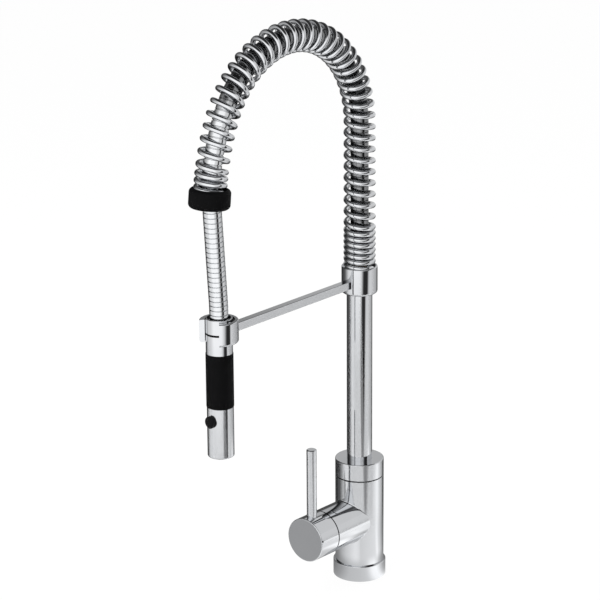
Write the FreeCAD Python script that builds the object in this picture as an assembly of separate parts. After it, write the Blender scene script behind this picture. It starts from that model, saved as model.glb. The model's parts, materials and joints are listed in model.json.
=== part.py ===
"""Spring pull-down kitchen faucet, built from separate pieces as it comes apart on a bench.

Millimetres, +Z up. The origin is the centre of the base where it stands on the worktop.
The spout, the handle, the spray button and the mouth of the dock all face the front, which is -Y.
"Forward" distances are measured from the column axis towards the front.
The body is sized outwards from the cartridge, and the spring and the spray outwards from the hose.
"""
import os
import FreeCAD
import Part
from math import acos, asin, atan2, ceil, cos, degrees, hypot, pi, radians, sin, sqrt, tan

V = FreeCAD.Vector
TINY = 1e-6             # lengths and angles below this count as none

# Clearances between pieces
FIT = 0.05              # pieces of one body that are pushed or screwed together
RUN = 0.06              # shafts that turn in their holes
AIR = 0.3               # free air between moving pieces
PAST = 1.0              # how far a cutter runs past the face that it opens

# Ceramic cartridge, lying along the branch
CART_SEAT = 26.8        # forward distance of the seat in the branch
CART_D = 35.0
CART_LEN = 22.0
CART_WALL = 2.5
CART_FLOOR = 3.0
SEAL_T = 1.0
SEAL_WIDTH = 1.2
DISC_T = 3.0
DISC_SIDE_AIR = 0.5     # from the moving disc to the cup at the end of its travel
DISC_HOLLOW_D = 12.5
DISC_HOLLOW_DEPTH = 1.5
CARRIER_T = 5.5
CART_NUT_STEP = 1.5     # the nut's radius beyond the cartridge's
CART_NUT_LEN = 5.0
CART_NUT_LIP = 0.8      # how far the nut reaches over the rotor drum
CART_NUT_SETBACK = 2.4  # the nut's face behind the branch mouth
ROTOR_NECK_CLEAR = 0.5  # from the carrier to the rotor drum
ROTOR_FRONT_SETBACK = 0.4   # rotor face behind the branch mouth
STEM_W = 8.0
STEM_TAIL_H = 4.0
STEM_TAIL_DEPTH = 4.0   # of the tail in the carrier
STEM_SLOT_AIR = 0.2
TAIL_ROCK = 1.0         # room above and below the tail, which rocks in its pocket
TAIL_CONTACT = 0.6      # from the tail's tip to the point where it pushes
PIN_D = 2.5
PIN_RIM = 4.9           # tilt pin in from the rim of the rotor's neck
PIN_SETBACK = 1.9       # tilt pin behind the branch mouth
PIN_END_SETBACK = 1.0
LUG_WALL = 1.75         # of the stem's lug, before and behind the pin
LUG_FOOT = 2.3          # of the lug below the pin's axis
LUG_SWING = 1.1         # free room under the lug
SLOT_RIM = 3.9          # top of the stem's slot in from the rim of the neck
LEVER_TILT = 15.0       # degrees, closed to fully open

# Branch, mixer body and base ring
BRANCH_Z = 61.0
BRANCH_WALL = 2.95      # round the cartridge nut
BRANCH_STEP = 2.0       # the drum's radius beyond the branch's
BRANCH_FILLET = 1.0
BODY_SHOULDER = 22.5    # height of the drum above the branch
BASE_RING_STEP = 2.0    # the base ring's radius beyond the drum's
BASE_RING_WALL = 6.0
BASE_RING_H = 16.0
GASKET_RIM = 1.5        # the base ring's wall outside its gasket
GASKET_SETBACK = 1.45   # and inside it
GASKET_T = 2.0
EDGE_R = 0.8            # small rounding on turned chrome edges

# Brass foot in the base ring, its threads and the water ways
FOOT_BOSS_STEP = 4.0    # the boss's radius within the foot's
FOOT_BOSS_H = 6.0
INLET_SPACING = 18.0
INLET_THREAD_R = 4.5
INLET_THREAD_DEPTH = 14.0
STUD_SPACING = 26.0
STUD_THREAD_R = 3.4
STUD_THREAD_DEPTH = 14.0
PORT_R = 3.0
INLET_PORT_DROP = 6.0   # inlet ports below the cartridge axis
OUTLET_PORT_RISE = 9.0  # outlet port above it

# Handle cap and lever
HANDLE_GAP = 1.0
CAP_LEN = 25.2
CAP_WALL = 3.0
CAP_HOLLOW = 9.6        # depth of the hollow behind the solid nose
SOCKET_DEPTH = 9.0
LEVER_D = 9.8
LEVER_SETBACK = 10.2    # lever axis behind the cap's front face
LEVER_LEN = 80.9
LEVER_ROOT = 11.0       # depth of the lever in the cap
LEVER_CHAMFER = 0.7
INDEX_D = 2.0
INDEX_DEPTH = 0.8
INDEX_SETBACK = 1.6
INDEX_RISE = 3.9        # above the cap's axis
SCREW_D = 5.0           # grub screws of the handle and of the swivel
HANDLE_SCREW_SINK = 4.0 # below the cap's surface
KEY_D = 2.5             # across the screws' hexagon sockets
KEY_DEPTH = 2.5
HEXAGON = 6

# Swivel and column
SLIDE_RING_T = 0.8
SLIDE_RING_CLEAR = 1.0  # from the spigot to the slide ring
SWIVEL_H = 17.0
SPIGOT_D = 30.0
SPIGOT_LEN = 21.5
SPIGOT_WALL = 6.0
SPIGOT_FLANGE = 4.0     # the flange's radius beyond the spigot's
SPIGOT_FLANGE_T = 3.6
CHAMBER_BELOW = 2.0     # depth of the water chamber under the spigot
LOCK_GROOVE_DEPTH = 1.6
LOCK_DROP = 5.5         # lock screw below the body's top
LOCK_SCREW_SINK = 1.0   # below the body's surface
O_RING_T = 2.0
FIRST_O_RING = 4.3      # above the spigot's foot
O_RING_STEP = 5.375
O_RING_COUNT = 2
COLUMN_D = 25.0
COLUMN_WALL = 1.8
COLUMN_LEN = 200.9

# Upper collar and hose connector
COLLAR_LIP = 1.7        # wall round the spring's seat
COLLAR_H = 27.0
COLLAR_LOWER_R = 2.5
COLLAR_SCREW_D = 4.0
COLLAR_SCREW_SINK = 0.6 # below the collar's surface
SPRING_SEAT_DEPTH = 3.0
SEAT_WEB = 0.5          # left between the spring's tail and the column
CONNECTOR_AIR = 0.2     # from the connector to the column's bore
CONNECTOR_LEN = 14.0
CONNECTOR_STEM_D = 14.0
NIPPLE_WALL = 1.45
NIPPLE_LEN = 16.0
HOSE_START_RISE = 4.0   # the hose's foot above the collar
FERRULE_LEN = 17.0
FERRULE_WALL = 0.9

# Ribbed metal hose
HOSE_D = 17.4
HOSE_BORE_D = 10.0
RIB_PITCH = 4.8
RIB_GROOVE = 0.5
RIB_SLOPE_SHARE = 0.12  # of a pitch, each flank of a groove
RIB_FLOOR_SHARE = 0.10  # of a pitch, floor of a groove
HOSE_LEG_TURN = 13.0    # degrees of the leg that the hose shares with the spring
HOSE_BEND_R = 100.0     # of the bends in the ring and over the spray

# Spring, wound left-handed round the hose
WIRE_D = 5.0
SPRING_AIR = 0.8        # between the hose's ferrule and the spring
TIGHT_TURNS = 7
TIGHT_GAP = 0.72        # between turns at the collar
OPEN_TURNS = 38
END_TURNS = 3
END_GAP = 1.2           # between turns at the ring
TANG_BEND_R = 5.0
ARCH_RISE = 242.4       # the spring's centre line above the collar at the arch's top
ARCH_EXTRA_SPAN = 0.4   # the arch's width beyond the reach
ARCH_TURN = 155.0       # degrees of the round arch
LEG_R = 200.0
LEG_TURN = 19.0         # degrees of the flatter leg that follows

# Rubber ring at the spring's end
RING_WALL = 3.4         # round the spring's seat
RING_H = 18.5
RING_ROUND = 4.0
RING_SEAT_DEPTH = 4.5
RING_HOSE_AIR = 1.2

# Arm and dock
ARM_RISE = 11.3         # the arm's axis above the collar's foot
ARM_SIDE = 7.9
ARM_EDGE_R = 0.8
ARM_SOCKET = 2.0
DOCK_REACH = 200.0      # forward distance of the spray axis
LINER_T = 1.95
DOCK_WALL = 3.2
DOCK_DROP = 9.1         # the dock's foot below the arm's axis
DOCK_H = 21.6
DOCK_MOUTH_AIR = 0.25   # beside the hose as it leaves between the jaws
DOCK_LOWER_R = 2.2
ARM_SCREW_D = 4.0
ARM_SCREW_LEN = 10.0
ARM_SCREW_HEAD_D = 7.0

# Spray head, from its top down
SPRAY_RISE = 1.8        # the spray's top above the dock's
NUT_H = 13.6
WASHER_T = 2.0
UPPER_SHELL_H = 18.2
GRIP_H = 52.4
GRIP_PROUD = 0.4
LOWER_SHELL_H = 48.9
LOWER_EDGE_R = 1.5
SPRAY_WALL = 1.7
NUT_WALL = 1.5
NUT_RIM = 1.3
NUT_MOUTH_DEPTH = 4.6
NUT_LIP_T = 3.0
NUT_LIP_REACH = 0.9     # of the lip over the hose cone's flange
GROMMET_T = 2.3
CONE_WALL = 1.0         # round the hose
CONE_FLANGE_T = 4.0
HOSE_SOCKET_DEPTH = 6.0
STUB_WALL = 2.0
STUB_LEN = 9.5
NECK_TOP_GAP = 0.5
CORE_STUB_GAP = 1.0
FACE_RECESS = 1.0
FACE_T = 5.4
AERATOR_D = 12.0
AERATOR_RECESS = 1.5
AERATOR_LEN = 13.0
JET_COUNT = 18
JET_R = 0.6
MESH_HOLE_R = 1.0
MESH_CIRCLE_D = 7.0
MESH_COUNT = 6
CORE_CHANNEL_R = 3.0
VALVE_D = 10.0
VALVE_LEN = 12.2
VALVE_BORE_R = 2.1

# Jet button
BUTTON_DROP = 12.4      # below the grip
BUTTON_D = 11.4
BUTTON_PROUD = 3.5
BUTTON_CROWN = 1.0
BUTTON_TRAVEL = 2.5
BUTTON_FLANGE = 0.9     # the flange's radius beyond the button's
BUTTON_FLANGE_T = 1.2
BUTTON_WALL = 1.5
BUTTON_ROOF = 4.6
PLUNGER_D = 4.0
PLUNGER_LEN = 15.4
BUTTON_WIRE_D = 0.7
BUTTON_SPRING_AIR = 0.6 # between the return spring and the button's wall
BUTTON_TURNS = 4

# Cartridge and handle sizes that follow
CART_R = CART_D / 2
CART_BORE_R = CART_R + FIT
CART_INNER_R = CART_R - CART_WALL
CART_FRONT = CART_SEAT + CART_LEN
CART_NUT_R = CART_R + CART_NUT_STEP
CART_NUT_FRONT = CART_FRONT + CART_NUT_LEN
CART_NUT_BORE_R = CART_INNER_R - CART_NUT_LIP
BRANCH_R = CART_NUT_R + FIT + BRANCH_WALL
BRANCH_D = 2 * BRANCH_R
BRANCH_END = CART_NUT_FRONT + CART_NUT_SETBACK
FIXED_DISC_AT = CART_SEAT + CART_FLOOR
MOVING_DISC_AT = FIXED_DISC_AT + DISC_T + FIT
CARRIER_AT = MOVING_DISC_AT + DISC_T
CARRIER_END = CARRIER_AT + CARRIER_T
ROTOR_AT = CARRIER_END + ROTOR_NECK_CLEAR
ROTOR_FRONT = BRANCH_END - ROTOR_FRONT_SETBACK
DRUM_R = CART_INNER_R - RUN
NECK_R = CART_NUT_BORE_R - AIR
PIN_DROP = NECK_R - PIN_RIM
PIN_AT = BRANCH_END - PIN_SETBACK
PIN_Z = BRANCH_Z - PIN_DROP
STEM_TAIL = CARRIER_END - STEM_TAIL_DEPTH
TAIL_ARM = PIN_AT - STEM_TAIL - TAIL_CONTACT
DISC_TRAVEL = TAIL_ARM * sin(radians(LEVER_TILT)) - PIN_DROP * (1 - cos(radians(LEVER_TILT)))
DISC_Z = BRANCH_Z - DISC_TRAVEL / 2
MOVING_DISC_R = CART_INNER_R - DISC_TRAVEL / 2 - DISC_SIDE_AIR
CAP_REAR = BRANCH_END + HANDLE_GAP
CAP_FRONT = CAP_REAR + CAP_LEN
NOSE_REAR = CAP_REAR + CAP_HOLLOW
STEM_END = NOSE_REAR + SOCKET_DEPTH
LEVER_AT = CAP_FRONT - LEVER_SETBACK
LEVER_FOOT_Z = BRANCH_Z + BRANCH_R - LEVER_ROOT
LEVER_TOP_Z = LEVER_FOOT_Z + LEVER_LEN

# Body, swivel and column sizes that follow
BODY_R = BRANCH_R + BRANCH_STEP
BODY_H = BRANCH_Z + BRANCH_R + BODY_SHOULDER
BASE_RING_R = BODY_R + BASE_RING_STEP
BASE_SPIGOT_R = BASE_RING_R - BASE_RING_WALL
FOOT_BOSS_R = BASE_SPIGOT_R - FOOT_BOSS_STEP
FOOT_BOSS_TOP_Z = BASE_RING_H + FOOT_BOSS_H
SWIVEL_BOTTOM_Z = BODY_H + SLIDE_RING_T + FIT
SWIVEL_TOP_Z = SWIVEL_BOTTOM_Z + SWIVEL_H
SPIGOT_R = SPIGOT_D / 2
SPIGOT_BORE_R = SPIGOT_R - SPIGOT_WALL
SPIGOT_FLANGE_R = SPIGOT_R + SPIGOT_FLANGE
FLANGE_BOTTOM_Z = SWIVEL_BOTTOM_Z + 3 * FIT
FLANGE_TOP_Z = FLANGE_BOTTOM_Z + SPIGOT_FLANGE_T
SPIGOT_BOTTOM_Z = FLANGE_BOTTOM_Z - SPIGOT_LEN
CHAMBER_Z = SPIGOT_BOTTOM_Z - CHAMBER_BELOW
LOCK_Z = BODY_H - LOCK_DROP
COLUMN_R = COLUMN_D / 2
COLUMN_BORE_R = COLUMN_R - COLUMN_WALL
COLUMN_TOP_Z = FLANGE_TOP_Z + COLUMN_LEN

# Spring, collar and hose sizes that follow
HOSE_R = HOSE_D / 2
HOSE_GRIP_R = HOSE_R + 2 * FIT
NIPPLE_R = HOSE_BORE_D / 2 - FIT
WATERWAY_R = NIPPLE_R - NIPPLE_WALL
SPRING_OUTER_R = HOSE_GRIP_R + FERRULE_WALL + SPRING_AIR + WIRE_D
SPRING_R = SPRING_OUTER_R - WIRE_D / 2
SPRING_SEAT_R = SPRING_OUTER_R + AIR
TIGHT_LENGTH = TIGHT_TURNS * (WIRE_D + TIGHT_GAP)
END_LENGTH = END_TURNS * (WIRE_D + END_GAP)
SEAT_Z = COLUMN_TOP_Z + TANG_BEND_R + WIRE_D / 2 + SEAT_WEB
COLLAR_TOP_Z = SEAT_Z + SPRING_SEAT_DEPTH
COLLAR_BOTTOM_Z = COLLAR_TOP_Z - COLLAR_H
COLLAR_R = SPRING_SEAT_R + COLLAR_LIP
CONNECTOR_R = COLUMN_BORE_R - CONNECTOR_AIR
HOSE_START_Z = COLLAR_TOP_Z + HOSE_START_RISE
ARCH_R = (DOCK_REACH + ARCH_EXTRA_SPAN) / 2
ARCH_START_Z = COLLAR_TOP_Z + ARCH_RISE - ARCH_R
RING_R = SPRING_SEAT_R + RING_WALL

# Spray, arm and dock sizes that follow
NUT_LIP_BORE_R = HOSE_GRIP_R + CONE_WALL + AIR
NUT_THREAD_R = NUT_LIP_BORE_R + NUT_LIP_REACH
SPRAY_R = NUT_THREAD_R + NUT_WALL
SPRAY_D = 2 * SPRAY_R
SPRAY_BORE_R = SPRAY_R - SPRAY_WALL
CORE_R = SPRAY_BORE_R - 2 * FIT
STUB_R = WATERWAY_R + STUB_WALL
DOCK_BORE_R = SPRAY_R + AIR + LINER_T + FIT
DOCK_R = DOCK_BORE_R + DOCK_WALL
ARM_Z = COLLAR_BOTTOM_Z + ARM_RISE
DOCK_BOTTOM_Z = ARM_Z - DOCK_DROP
DOCK_TOP_Z = DOCK_BOTTOM_Z + DOCK_H
SPRAY_TOP_Z = DOCK_TOP_Z + SPRAY_RISE
NUT_BOTTOM_Z = SPRAY_TOP_Z - NUT_H
WASHER_Z = NUT_BOTTOM_Z - WASHER_T
GRIP_TOP_Z = WASHER_Z - UPPER_SHELL_H
GRIP_BOTTOM_Z = GRIP_TOP_Z - GRIP_H
SPRAY_BOTTOM_Z = GRIP_BOTTOM_Z - LOWER_SHELL_H
LIP_TOP_Z = SPRAY_TOP_Z - NUT_MOUTH_DEPTH
LIP_BOTTOM_Z = LIP_TOP_Z - NUT_LIP_T
CONE_TOP_Z = LIP_TOP_Z
CONE_SHOULDER_Z = LIP_BOTTOM_Z - AIR
CONE_BOTTOM_Z = CONE_SHOULDER_Z - CONE_FLANGE_T
CONE_SOCKET_Z = CONE_TOP_Z - HOSE_SOCKET_DEPTH
NECK_TOP_Z = CONE_BOTTOM_Z - NECK_TOP_GAP
CORE_TOP_Z = CONE_SOCKET_Z - STUB_LEN - CORE_STUB_GAP
FACE_BOTTOM_Z = SPRAY_BOTTOM_Z + FACE_RECESS
FACE_TOP_Z = FACE_BOTTOM_Z + FACE_T
AERATOR_R = AERATOR_D / 2
AERATOR_FOOT_Z = SPRAY_BOTTOM_Z + AERATOR_RECESS
AERATOR_TOP_Z = AERATOR_FOOT_Z + AERATOR_LEN
JET_CIRCLE_R = (AERATOR_R + CORE_R) / 2
BUTTON_Z = GRIP_BOTTOM_Z - BUTTON_DROP
BUTTON_R = BUTTON_D / 2
BUTTON_FLANGE_R = BUTTON_R + BUTTON_FLANGE
BUTTON_HOLLOW_R = BUTTON_R - BUTTON_WALL

made = {}


def save(name, shape):
    """Writes one piece to its own file and checks that its solids are sound."""
    if not shape.isValid() or not shape.Solids:
        raise ValueError(name + " is not a sound solid")
    os.makedirs("parts", exist_ok=True)
    shape.exportStep("parts/" + name + ".step")
    made[name] = shape
    print(name, "solids", len(shape.Solids), "volume", round(shape.Volume, 1))


def at(forward, z, x=0.0):
    """A point given by its forward distance, its height and its offset to the side."""
    return V(x, -forward, z)


def rod(radius, start, end):
    """A cylinder from one point to another."""
    return Part.makeCylinder(radius, (end - start).Length, start, end - start)


def pipe(outer, inner, start, end):
    """A plain tube from one point to another."""
    return rod(outer, start, end).cut(rod(inner, start, end))


def block(x, forward, z):
    """A box from its ranges across, forward and up."""
    size = (x[1] - x[0], forward[1] - forward[0], z[1] - z[0])
    return Part.makeBox(*size, V(x[0], -forward[1], z[0]))


def joined(shapes):
    """Several solids as one group of separate solids."""
    return Part.makeCompound(shapes)


def turned(corners, axis_forward=0.0):
    """A lathe-turned solid about an upright axis: corners are (radius, height, rounding)."""
    points = [V(corner[0], 0, corner[1]) for corner in corners]
    count = len(points)
    edges = []
    ends = []
    for i, here in enumerate(points):
        rounding = corners[i][2] if len(corners[i]) > 2 else 0.0
        back = (points[i - 1] - here).normalize()
        ahead = (points[(i + 1) % count] - here).normalize()
        if rounding > 0:
            half = acos(back.dot(ahead)) / 2
            reach = rounding / tan(half)
            inward = (back + ahead).normalize()
            middle = here + inward * (rounding / sin(half) - rounding)
            first = here + back * reach
            last = here + ahead * reach
            edges.append(Part.Arc(first, middle, last).toShape())
            ends.append((first, last))
        else:
            ends.append((here, here))
    for i in range(count):
        start = ends[i][1]
        end = ends[(i + 1) % count][0]
        if (end - start).Length > TINY:
            edges.append(Part.LineSegment(start, end).toShape())
    outline = Part.Wire(Part.__sortEdges__(edges))
    solid = Part.Face(outline).revolve(V(0, 0, 0), V(0, 0, 1), 360)
    solid.translate(V(0, -axis_forward, 0))
    return solid


def o_ring(middle_r, thickness, z):
    """A round rubber ring lying flat at a height."""
    return Part.makeTorus(middle_r, thickness / 2, V(0, 0, z))


def grub_screw(diameter, tip, head):
    """A headless screw with a hexagon socket in its outer end."""
    screw = rod(diameter / 2, tip, head)
    inward = (tip - head).normalize()
    corners = []
    side = V(1, 0, 0)
    other = inward.cross(side)
    for i in range(HEXAGON + 1):
        turn = 2 * pi * i / HEXAGON
        spoke = side * cos(turn) + other * sin(turn)
        corners.append(head + spoke * (KEY_D / sqrt(3)))
    socket = Part.Face(Part.makePolygon(corners)).extrude(inward * KEY_DEPTH)
    return screw.cut(socket)


# Routes in the plane of symmetry

def route_point(route, distance):
    """Position and heading at a distance along a route of (length, turn in degrees) stretches."""
    forward, z, heading = route["start"]
    for length, turn in route["stretches"]:
        step = min(distance, length)
        bend = radians(turn) * step / length
        if abs(turn) < TINY:
            forward += step * cos(heading)
            z += step * sin(heading)
        else:
            radius = length / radians(turn)
            forward += radius * (sin(heading + bend) - sin(heading))
            z -= radius * (cos(heading + bend) - cos(heading))
        heading += bend
        distance -= step
        if distance <= TINY:
            break
    return forward, z, heading


def route_length(route):
    """The whole length of a route."""
    return sum(stretch[0] for stretch in route["stretches"])


def route_wire(route):
    """A route as straight runs and tangent arcs."""
    edges = []
    travelled = 0.0
    for length, turn in route["stretches"]:
        ends = []
        for share in (0.0, 0.5, 1.0):
            ends.append(at(*route_point(route, travelled + share * length)[:2]))
        if abs(turn) < TINY:
            edges.append(Part.LineSegment(ends[0], ends[2]).toShape())
        else:
            edges.append(Part.Arc(*ends).toShape())
        travelled += length
    return Part.Wire(edges)


def arc_of(radius, turn):
    """A stretch that turns by an angle at a radius."""
    return (radius * abs(radians(turn)), turn)


def leaning_run(start, foot_forward, foot_z):
    """Stretches from a falling route to a foot: a bend, a straight lean and a bend back upright.

    The lean is the line that touches both bends' circles and passes between them.
    """
    forward, z, heading = start
    across = foot_forward + HOSE_BEND_R - (forward + HOSE_BEND_R * sin(heading))
    rise = foot_z - (z - HOSE_BEND_R * cos(heading))
    apart = hypot(across, rise)
    both_r = 2 * HOSE_BEND_R
    lean = atan2(rise, across) - asin(both_r / apart)
    print("hose leans by", round(degrees(-UPRIGHT - lean), 2), "degrees")
    return [
        arc_of(HOSE_BEND_R, degrees(lean - heading)),
        (sqrt(apart ** 2 - both_r ** 2), 0.0),
        arc_of(HOSE_BEND_R, degrees(-UPRIGHT - lean)),
    ]


UPRIGHT = pi / 2
ARCH_STRETCH = arc_of(ARCH_R, -ARCH_TURN)
spring_route = {
    "start": (0.0, SEAT_Z + WIRE_D / 2, UPRIGHT),
    "stretches": [
        (ARCH_START_Z - SEAT_Z - WIRE_D / 2, 0.0),
        ARCH_STRETCH,
        arc_of(LEG_R, -LEG_TURN),
    ],
}
SPRING_LENGTH = route_length(spring_route)
end_forward, end_z, end_heading = route_point(spring_route, SPRING_LENGTH)
RING_AXIS = V(0, -cos(end_heading), sin(end_heading))
RING_SEAT = at(end_forward, end_z) + RING_AXIS * (WIRE_D / 2)
RING_TOP = RING_SEAT - RING_AXIS * RING_SEAT_DEPTH
RING_FOOT = RING_TOP + RING_AXIS * RING_H

# The hose follows the spring, bends in the ring into a straight lean and is upright again at the spray.
arch_hose_route = {
    "start": (0.0, HOSE_START_Z, UPRIGHT),
    "stretches": [
        (ARCH_START_Z - HOSE_START_Z, 0.0),
        ARCH_STRETCH,
        arc_of(LEG_R, -HOSE_LEG_TURN),
    ],
}
leg_end = route_point(arch_hose_route, route_length(arch_hose_route))
ring_bend, lean_run, foot_bend = leaning_run(leg_end, DOCK_REACH, CONE_SOCKET_Z + HOSE_D)
ring_route = {"start": leg_end, "stretches": [ring_bend, lean_run]}
arch_hose_route["stretches"] += [ring_bend, (HOSE_D, 0.0)]
hose_split = route_point(arch_hose_route, route_length(arch_hose_route))
drop_hose_route = {
    "start": hose_split,
    "stretches": [(lean_run[0] - HOSE_D, 0.0), foot_bend, (HOSE_D, 0.0)],
}
print("hose bends at radii", ARCH_R, LEG_R, HOSE_BEND_R)
print("hose parts at height", round(hose_split[1], 2))


# Wound wire

def biarc(start, start_way, end, end_way):
    """Two tangent arcs that join two points and the directions there."""
    across = end - start
    both = start_way + end_way
    spread = 2 - 2 * start_way.dot(end_way)
    lean = 2 * across.dot(both)
    chord = across.dot(across)
    if spread < TINY:
        reach = chord / lean
    else:
        reach = (-lean + sqrt(lean ** 2 + 4 * spread * chord)) / (2 * spread)
    first_corner = start + start_way * reach
    last_corner = end - end_way * reach
    middle = (first_corner + last_corner) * 0.5
    return [corner_arc(start, first_corner, middle), corner_arc(middle, last_corner, end)]


def corner_arc(start, corner, end):
    """The arc that is tangent to both legs of a corner with equal legs."""
    middle = (start + end) * 0.5
    half_chord = (end - start).Length / 2
    rise = corner - middle
    half_turn = atan2(rise.Length, half_chord)
    sagitta = half_chord * tan(half_turn / 2)
    return Part.Arc(start, middle + rise.normalize() * sagitta, end).toShape()


def wound_point(centre_line, mean_r, hand, distance, phase):
    """A point on a wire wound round a centre line in the plane of symmetry."""
    forward, z, heading = route_point(centre_line, distance)
    along = V(0, -cos(heading), sin(heading))
    side = V(1, 0, 0)
    other = along.cross(side)
    turn = hand * phase
    return at(forward, z) + side * (mean_r * cos(turn)) + other * (mean_r * sin(turn))


def wound_curve(centre_line, mean_r, hand, stretches):
    """Points and directions at each half turn, for stretches of (turns, length)."""
    marks = [(0.0, 0.0)]
    for turns, length in stretches:
        marks.append((marks[-1][0] + turns, marks[-1][1] + length))

    def place(turns):
        for (turn_a, dist_a), (turn_b, dist_b) in zip(marks, marks[1:]):
            if turns <= turn_b + TINY:
                break
        distance = dist_a + (dist_b - dist_a) * (turns - turn_a) / (turn_b - turn_a)
        return wound_point(centre_line, mean_r, hand, distance, 2 * pi * turns)

    nudge = 0.002
    samples = []
    for i in range(int(round(2 * marks[-1][0])) + 1):
        turns = i / 2
        before = place(max(turns - nudge, 0.0))
        after = place(min(turns + nudge, marks[-1][0]))
        samples.append((place(turns), (after - before).normalize()))
    return samples


def wound_edges(samples):
    """The wire's centre line as biarcs of half a turn."""
    edges = []
    for (start, start_way), (end, end_way) in zip(samples, samples[1:]):
        edges += biarc(start, start_way, end, end_way)
    return edges


def tang(end, way, outward, bend_r, straight):
    """The bent tail of a spring's wire: an arc out of the last turn and a straight end."""
    reach = bend_r * tan(acos(way.dot(outward)) / 2)
    corner = end + way * reach
    bend_end = corner + outward * reach
    tip = bend_end + outward * straight
    return [corner_arc(end, corner, bend_end), Part.LineSegment(bend_end, tip).toShape()]


def swept(edges, radius):
    """A round bar along tangent edges, all in one unbroken piece."""
    spine = Part.Wire(edges)
    first = edges[0]
    start = first.valueAt(first.FirstParameter)
    way = first.tangentAt(first.FirstParameter)
    profile = Part.Wire(Part.makeCircle(radius, start, way))
    bar = spine.makePipeShell([profile], True, False)
    expected = pi * radius ** 2 * spine.Length
    print("bar along", round(spine.Length, 1), "volume share", round(bar.Volume / expected, 5))
    return bar


def reverse_edges(edges):
    """The same tangent edges walked the other way."""
    flipped = []
    for edge in reversed(edges):
        ends = [edge.valueAt(edge.LastParameter)]
        ends.append(edge.valueAt((edge.FirstParameter + edge.LastParameter) / 2))
        ends.append(edge.valueAt(edge.FirstParameter))
        straight = isinstance(edge.Curve, Part.Line)
        curve = Part.LineSegment(ends[0], ends[2]) if straight else Part.Arc(*ends)
        flipped.append(curve.toShape())
    return flipped


def least_gap(edges, wire_d, mean_r):
    """The least gap of a wound wire to itself, measured on points along it."""
    step = wire_d / 4
    near = 4 * wire_d
    two_turns = 4 * pi * mean_r
    points = []
    travelled = 0.0
    for edge in edges:
        count = max(2, int(ceil(edge.Length / step)))
        for i in range(count):
            share = i / count
            value = edge.FirstParameter + share * (edge.LastParameter - edge.FirstParameter)
            points.append((travelled + share * edge.Length, edge.valueAt(value)))
        travelled += edge.Length
    least = 1e9
    for i, (place, point) in enumerate(points):
        for other_place, other in points[i + 1:]:
            apart = other_place - place
            if apart < near:
                continue
            if apart > two_turns + near:
                break
            least = min(least, (other - point).Length - wire_d)
    return least


# Base and mixer body

def make_base():
    """The chrome ring under the body and the rubber gasket in its groove."""
    bore_r = BASE_SPIGOT_R + FIT
    ring = turned([
        (bore_r, 0), (BASE_RING_R, 0, EDGE_R / 2),
        (BASE_RING_R, BASE_RING_H, EDGE_R), (bore_r, BASE_RING_H),
    ])
    groove_in = bore_r + GASKET_SETBACK
    groove_out = BASE_RING_R - GASKET_RIM
    groove = pipe(groove_out, groove_in, V(0, 0, 0), V(0, 0, GASKET_T))
    save("base_ring", ring.cut(groove))
    gasket = pipe(groove_out - FIT, groove_in + FIT, V(0, 0, 0), V(0, 0, GASKET_T - FIT))
    save("base_gasket", gasket)


def inlet_places():
    """The two inlets, side by side."""
    return [-INLET_SPACING / 2, INLET_SPACING / 2]


def make_base_foot():
    """The brass foot screwed into the body, with the supply inlets and the stud threads."""
    foot = turned([
        (0, 0), (BASE_SPIGOT_R, 0), (BASE_SPIGOT_R, BASE_RING_H), (FOOT_BOSS_R, BASE_RING_H),
        (FOOT_BOSS_R, FOOT_BOSS_TOP_Z), (0, FOOT_BOSS_TOP_Z),
    ])
    cuts = []
    for x in inlet_places():
        cuts.append(rod(INLET_THREAD_R, V(x, 0, 0), V(x, 0, INLET_THREAD_DEPTH)))
        cuts.append(rod(PORT_R, V(x, 0, INLET_THREAD_DEPTH), V(x, 0, FOOT_BOSS_TOP_Z)))
    for y in (-STUD_SPACING / 2, STUD_SPACING / 2):
        cuts.append(rod(STUD_THREAD_R, V(0, y, 0), V(0, y, STUD_THREAD_DEPTH)))
    save("base_foot", foot.cut(cuts))


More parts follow.
